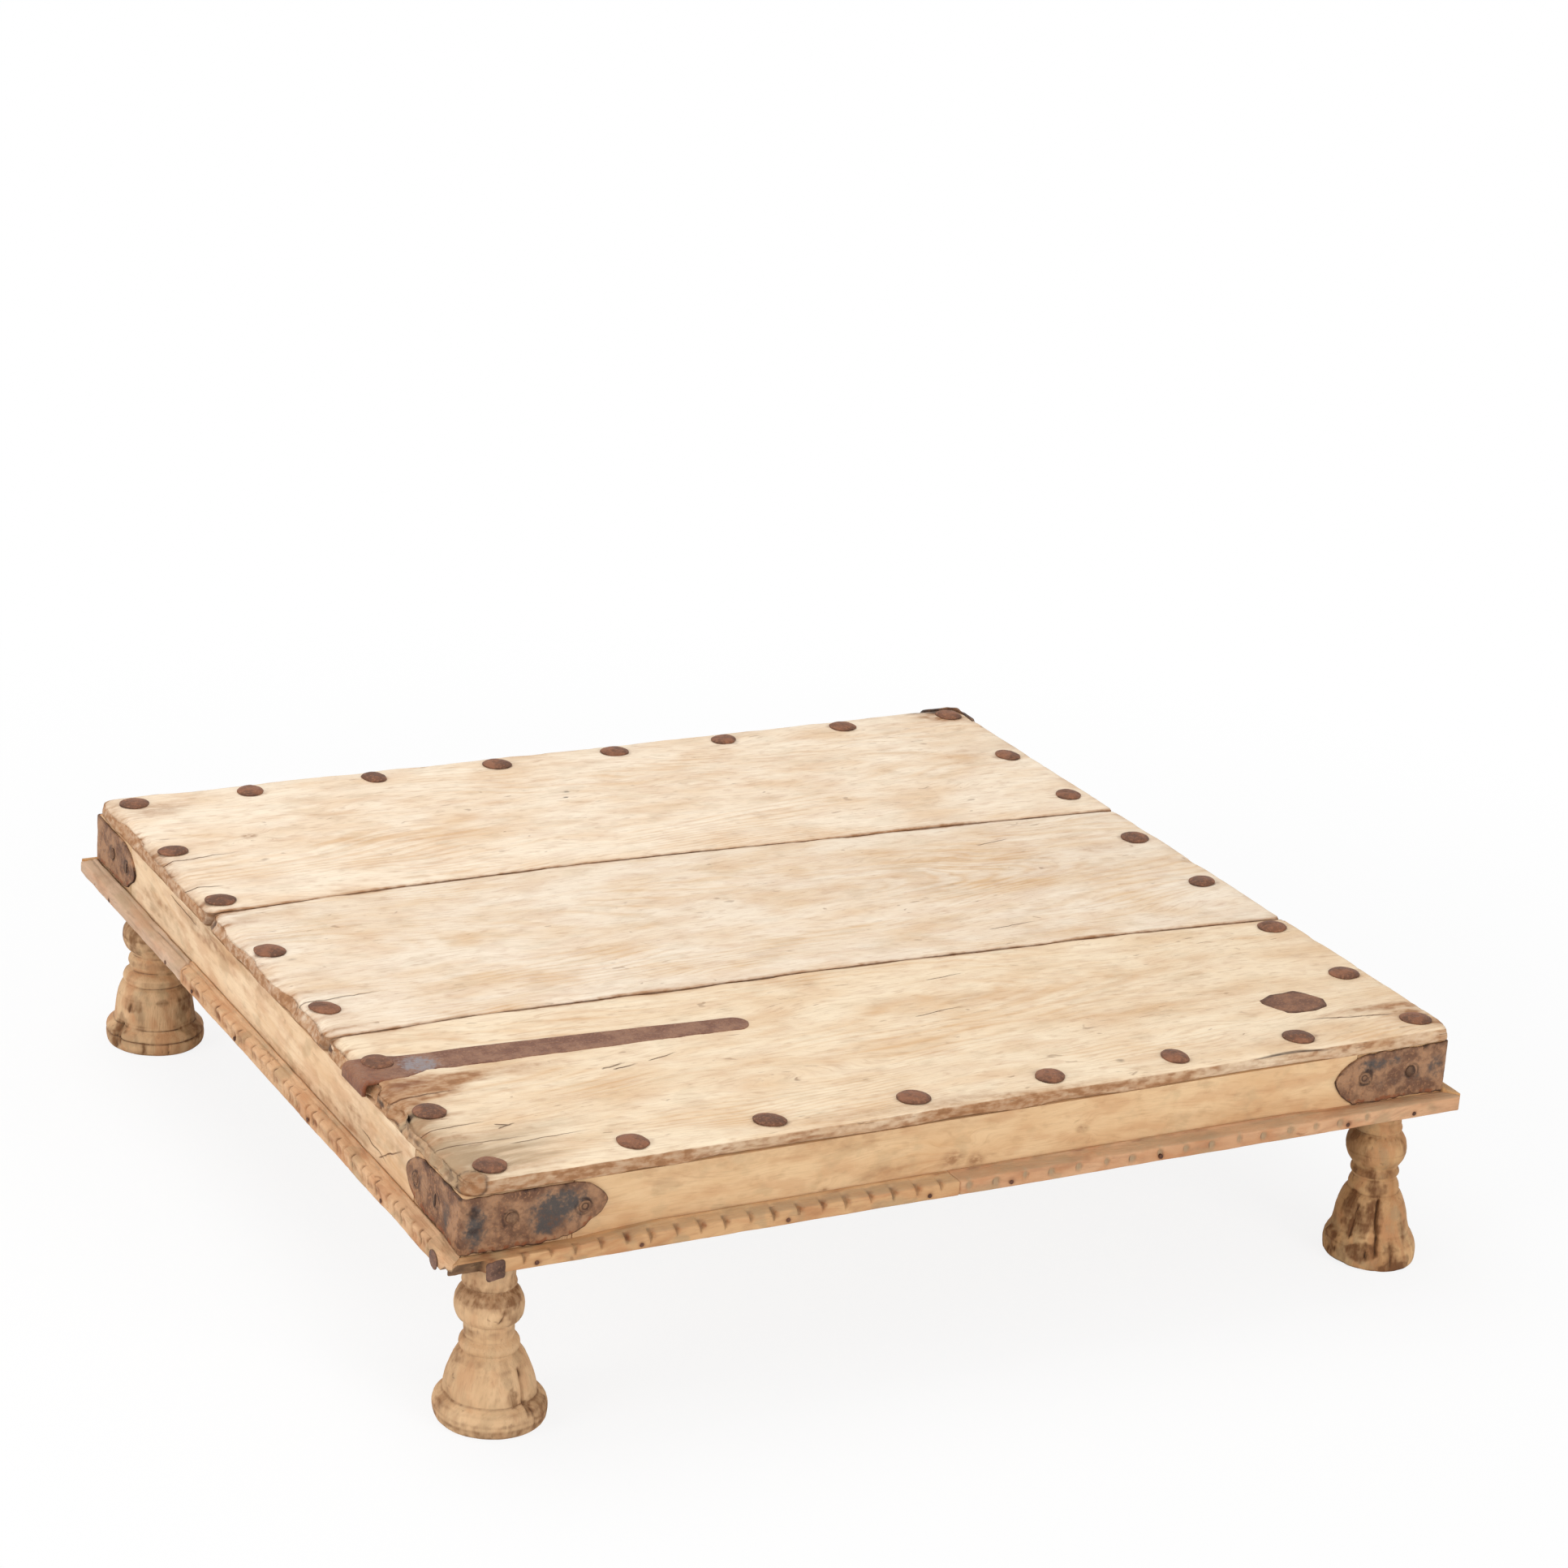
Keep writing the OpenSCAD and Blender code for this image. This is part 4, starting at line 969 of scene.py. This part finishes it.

    # Dirt at the ends, the outer edges and the seams, and on the cut ends and sides, with painted shade at
    # the foot of the cut ends and down the sides of the seams
    seam_side = np.minimum(edge_low + 40 * near_edge, edge_high + 40 * far_edge)
    soil = 0.42 * fade(end_left, 2, 16) * (0.8 + 0.6 * drift((30, 9, 9), 11))
    soil += 0.42 * fade(end_left, 6, 80) * unit(0.2 + 1.1 * drift((60, 9, 9), 22))
    soil += 0.40 * fade(end_right, 1, 20) * (0.4 + 0.8 * drift((40, 10, 9), 12))
    soil += 0.26 * fade(outer, 1, 26) * (0.6 + 0.8 * drift((45, 9, 9), 13))
    soil += 0.6 * fade(seam_side, 0.5, 3.6)
    soil += 0.45 * fade(seam_side, 0, 13) * unit(0.25 + drift((60, 20, 9), 14))
    soil += 0.35 * rough * fade(end_left, 8, 60) * soft(drift((90, 4.5, 9), 26), 0.3, 0.75)
    side = fade(z0, 184.2, 186.0) * (1 - 0.85 * underside)
    cut_end = side * left_face
    soil += 0.22 * side + 0.35 * (side - cut_end) * unit(0.25 - torn)
    # The cut ends are dirty, and darker near their foot as painted shade above the rail
    soil += cut_end * (0.34 * rough + 0.4 * unit(drift((9, 22, 5), 25)) + 0.4 * fade(z0, 176, 180))
    # Painted shade down the sides of the seams
    dark = 0.45 * fade(seam_side, 0.0, 1.0) * fade(z0, 185.4, 186.6)
    dark += 0.35 * (side - cut_end) * unit(-0.35 - torn)
    dark += 0.45 * cut_end * (soft(drift((9, 3.5, 30), 23), 0.45, 0.8)
                              + rough * soft(-layered, 0.3, 0.9) - 0.2)
    if near_edge:
        # The rotten left end, a dark vein in the front edge, and the end of a branch in the near corner
        lumps = drift((9, 8, 6), 27) + 0.6 * drift((5, 3.6, 3.6), 28)
        rotten = fade(end_left, 4, 13) * (1 - under_bar)
        z = z + 1.0 * lumps * face_up * rotten
        x = x - 1.1 * lumps * side * left_face
        soil += rotten * (0.25 + 0.6 * unit(-lumps))
        dark += rotten * 0.6 * soft(-lumps, 0.35, 0.9)
        streaks = soft(drift((110, 5, 9), 29), -0.1, 0.6)
        soil += 0.35 * streaks * fade(end_left, 20, 170) * fade(y, -215, -195)
        soil += side * (0.26 + 0.5 * fade(x, -310, -120))
        vein = z - 183.4 - 1.6 * np.sin((x - 205) / 21)
        dark += 0.9 * bump(vein, 0.8) * soft(x, 205, 220) * fade(x, 262, 282) * fade(edge_low, 2, 5)
        from_knot = np.sqrt((x + 366) ** 2 + (y + 345) ** 2 + ((z - 182) * 1.2) ** 2)
        dark += 0.7 * bump(from_knot - 10.5, 1.3) + 0.35 * bump(from_knot - 5, 1.2)
        soil += 0.5 * fade(from_knot, 8, 12)

    # Rust and a hollow round each nail, then the stains
    paint = {kind: np.zeros(len(x)) for kind in ("rust", "grey", "swirl")}
    paint.update(soil=soil, dark=dark)
    for nail_x, nail_y in sum(top_nails.values(), []):
        away = np.hypot((x - nail_x) / 1.15, y - nail_y)
        ring = bump(np.maximum(away - 10.5, 0), 3.4)
        paint["rust"] += 0.45 * ring * (0.6 + 0.9 * drift(9, 15))
        z = z - 0.35 * bump(away, 15) * face_up
    for kind, spots in stains.items():
        for spot_x, spot_y, wide, tall, strength in spots:
            spot = strength * np.exp(-(((x - spot_x) / wide) ** 2 + ((y - spot_y) / tall) ** 2) ** 1.4)
            spot = spot * (0.8 + 0.5 * drift((26, 5, 9), spot_x))
            paint[kind] += spot * (1 - 0.7 * underside)
    piece(node + "_board", trio(x, y, z), faces, paint, material, node, "plank_wood")


cream_brown = "#a67750"
plank("plank_far", seam_far, lambda x: top_y + 0 * x, (9, 12, 2, 6), 2.2,
      wood("plank_far_wood", "xyz", 101, ("#f6e5cd", "#dfbc95", cream_brown), 0.4, (-290, 238),
           knots=[(-292, 245, 4.0)],
           cracks=[((-375, 212), (-305, 218), 0.9), ((-375, 160), (-340, 158), 0.8)]), {
          "swirl": [(-200, 200, 90, 40, 0.4), (120, 260, 90, 24, 0.35)],
          "soil": [(-335, 318, 30, 14, 0.6), (-300, 150, 40, 12, 0.35), (340, 250, 34, 20, 0.45),
                   (356, 336, 24, 16, 1.2), (290, 150, 40, 10, 0.25)],
          "dark": [(-25, 261, 3.4, 2.4, 1.2), (-31, 250, 2.6, 1.8, 1.0), (362, 342, 16, 8, 0.9),
                   (345, 348, 24, 4, 0.9)],
          "grey": [(-180, 300, 16, 5, 0.5)]},
      far_edge=True)
plank("plank_middle", seam_near, seam_far, (8, 10, 2, 2), 4.1,
      wood("plank_middle_wood", "xyz", 137, ("#f1e1cb", "#dcba92", cream_brown), 0.35, (210, 8),
           cracks=[((-375, -60), (-300, -57), 0.8), ((150, -92), (196, -88), 0.5),
                   ((228, 60), (262, 66), 0.6)]), {
          "swirl": [(196, 10, 96, 52, 0.8), (40, 60, 60, 20, 0.4), (-240, 30, 50, 30, 0.35)],
          "soil": [(-310, 100, 30, 8, 0.4), (-150, 40, 60, 16, 0.22), (200, 10, 170, 70, 0.30),
                   (330, 30, 30, 10, 0.35)],
          "dark": [(-346, 14, 5, 2, 0.8)]})
plank("plank_near", lambda x: -top_y + 0 * x, seam_near, (12, 8, 5, 2), 6.3,
      wood("plank_near_wood", "xyz", 173, ("#f2dec0", "#dbb68c", cream_brown), 0.4, (60, -190),
           knots=[(-366, -345, 7.0)],
           cracks=[((350, -320), (270, -306), 1.0), ((-375, -300), (-300, -302), 0.6),
                   ((-375, -275), (-320, -273), 0.6), ((-375, -225), (-318, -222), 0.9),
                   ((-221, -224), (-198, -218), 1.1), ((-214, -227), (-192, -224), 0.8),
                   ((-186, -222), (-158, -215), 0.7), ((-322, -286), (-307, -282), 0.9),
                   ((-322, -279), (-311, -285), 0.8), ((-325, -309), (-262, -306), 0.5),
                   ((60, -160), (96, -156), 0.5), ((20, -215), (66, -208), 0.5)]), {
          "soil": [(-350, -213, 34, 17, 1.4), (-300, -205, 60, 9, 0.9), (-366, -238, 12, 28, 1.0),
                   # The brown at x 20 along the near edge marks a chip and is partly painted shadow under it
                   (20, -349, 60, 7, 0.6), (190, -230, 120, 50, 0.25), (-372, -310, 10, 50, 0.7),
                   (366, -330, 14, 16, 0.8),
                   (335, -306, 50, 6, 0.75), (352, -322, 18, 14, 0.7), (250, -330, 50, 12, 0.3),
                   (-60, -340, 70, 9, 0.35), (345, -200, 28, 14, 0.3)],
          "rust": [(-354, -207, 24, 12, 0.7)],
          "grey": [(-334, -322, 46, 26, 0.85), (-364, -300, 20, 60, 0.7), (-300, -290, 60, 14, 0.35),
                   (-366, -250, 13, 8, 0.7)],
          "dark": [(-367, -249, 10, 5, 0.8), (-318, -283, 7, 3, 0.6), (118, -325, 4, 3, 0.9)],
          "swirl": [(120, -200, 110, 34, 0.4)]},
      near_edge=True)


# The top's nails: forged iron with domed heads about an inch across, no two alike. They are driven down
# through the planks into the frame, along all four sides.
nail_iron = iron("nail_iron", 12, ("#8a5b41", "#61402e", "#a06f52"), rough=0.55)
askew = {(-352, -332): (3.6, -1.6), (-356, -249.6): (2.8, 1.4)}
for row, places in top_nails.items():
    parts = []
    for i, (nail_x, nail_y) in enumerate(places):
        seed = nail_x * 0.013 + nail_y * 0.007
        head = nail(23.0, 2.9, seed, shank=30, squeeze=0.05 + 0.07 * (i % 3))
        off_x, off_y = askew.get((nail_x, nail_y), (0, 0))
        cos, sin = math.cos(seed * 3), math.sin(seed * 3)
        place = (nail_x + off_x, nail_y + off_y, plank_high - 0.25)
        parts.append(aim(head, place, (cos, sin, 0), (-sin, cos, 0)))
    piece("top_nails_" + row + "_heads", *join(parts), nail_iron, "top_nails_" + row, "nail_iron")


# Repair bar: a flat iron bar let into the near plank and bent down over its left end. One of the top's
# nails goes through it, and three pins.
bar_iron = iron("bar_iron", 27, ("#8f6851", "#744d3b", "#a37a60"), rough=0.55, scale="#908889")
bar_upper = seam([(-380, -157), (-352, -157.5), (-342, -161), (-321, -163), (-297, -162.5), (-219, -167),
                  (-171, -170), (-122, -174), (-104, -174.8)])
bar_lower = seam([(-380, -195), (-346, -195), (-330, -188.5), (-309, -190), (-286, -191), (-230, -192.3),
                  (-152, -194.4), (-104, -196)])
points, faces = skin(rule(-11.5, 279, 2.0, 4), rule(0, 1, 0.08, 0.12), rule(0, 2.4, 0.8))
s, share, t = points.T
bend_x, bend_z, round_over, inner = -372.4, 181.75, 6.3, 2.6
tip_x, tip_y, tip_r = -104, -185.4, 10.6
x = bend_x + s
tip = np.sqrt(np.maximum(tip_r ** 2 - np.clip(x - tip_x, 0, tip_r) ** 2, 0.3))
ragged = trio(s)
upper = np.where(x > tip_x, tip_y + tip, bar_upper(x)) - 0.4 - 0.4 * wander(ragged, 9, 1.1)
lower = np.where(x > tip_x, tip_y - tip, bar_lower(x)) + 0.5
lower = lower + 0.55 * wander(ragged, 8, 2.1) + 0.4 * wander(ragged, 2.5, 3.1)
y = lower + share * (upper - lower)
around = unit(-s / round_over) * math.pi / 2
t = t - 0.12 * (1 + wander(trio(s, y), (18, 9, 9), 4.1)) - 0.5 * (np.abs(share - 0.5) > 0.49) * (t > 1)
placed = trio(bend_x - np.sin(around) * (inner + t) + np.maximum(s, 0), y,
              bend_z + np.cos(around) * (inner + t) - np.maximum(-s - round_over, 0))
piece("repair_bar_worn", placed, faces, {
    "blue": 1.3 * bump(x + 331, 13) * bump(y + 178, 12),
    "crumb": 0.5 * fade(x, -366, -340) + 0.3 * bump(share, 0.1)}, bar_iron, "repair_bar", "strap_iron")


# Patch plate: an eight-sided scrap of sheet iron let into the near plank close to the right corner, with
# two pins.
patch_iron = iron("patch_iron", 33, ("#8a6149", "#6d4a39", "#a67a5c"))
patch_edge = np.array([
    (268, -269.5), (281, -263), (301, -262), (306, -266), (314, -281), (311, -289.5), (309, -293),
    (297, -297), (281, -296.5), (275.5, -294), (271, -285), (267, -274.5), (268, -269.5)])
patch_middle = np.array([291, -280.0])
walked = np.concatenate([[0], np.cumsum(np.linalg.norm(np.diff(patch_edge, axis=0), axis=1))])
stops = np.linspace(0, walked[-1], 96, endpoint=False)
outline = np.stack([np.interp(stops, walked, patch_edge[:, i]) for i in (0, 1)], 1)[::-1] - patch_middle
points, faces = disc(outline, [
    (0, 0.7), (0.25, 0.68), (0.5, 0.62), (0.75, 0.55), (0.9, 0.5), (0.97, 0.4), (1.0, 0.15), (1.0, -1.6)])
points[:, :2] += 0.5 * np.stack([wander(points, 6, 1.3), wander(points, 6, 1.9)], 1)
points[:, 2] += 0.22 * wander(points, 7, 2.7) * (points[:, 2] > 0)
away = np.hypot(points[:, 0] / 22, points[:, 1] / 16)
piece("patch_plate_worn", points + np.array([*patch_middle, plank_high - 0.15]), faces,
      {"dark": 0.55 * soft(away, 0.82, 1.02)}, patch_iron, "patch_plate", "strap_iron")


# Corner nails: two large forged nails hold the broken corner of the near moulding, a squarish one in front
# and a domed one on the left.
corner_iron = iron("corner_iron", 45, ("#77584a", "#4e372d", "#926d55"))
left_head = aim(nail(13, 1.4, 3.3), (-385, -336, 128.6), (0, -1, 0), (0, 0, 1))
near_head = aim(nail(15, 1.8, 5.3, "square"), (-354, -361.4, 127.8), (1, 0, 0.1), (-0.1, 0, 1))
piece("corner_nails_heads", *join([left_head, near_head]), corner_iron, "corner_nails", "nail_iron")


# Pins: small dark nails through the moulding, the bar and the patch. They are the frame's own nodes, and
# only their iron is made here.
pin_iron = iron("pin_iron", 51, ("#6a4534", "#4a3024", "#7f5640"))
for node in ("moulding_pins", "bar_pins", "patch_pins"):
    dress(node, pin_iron)
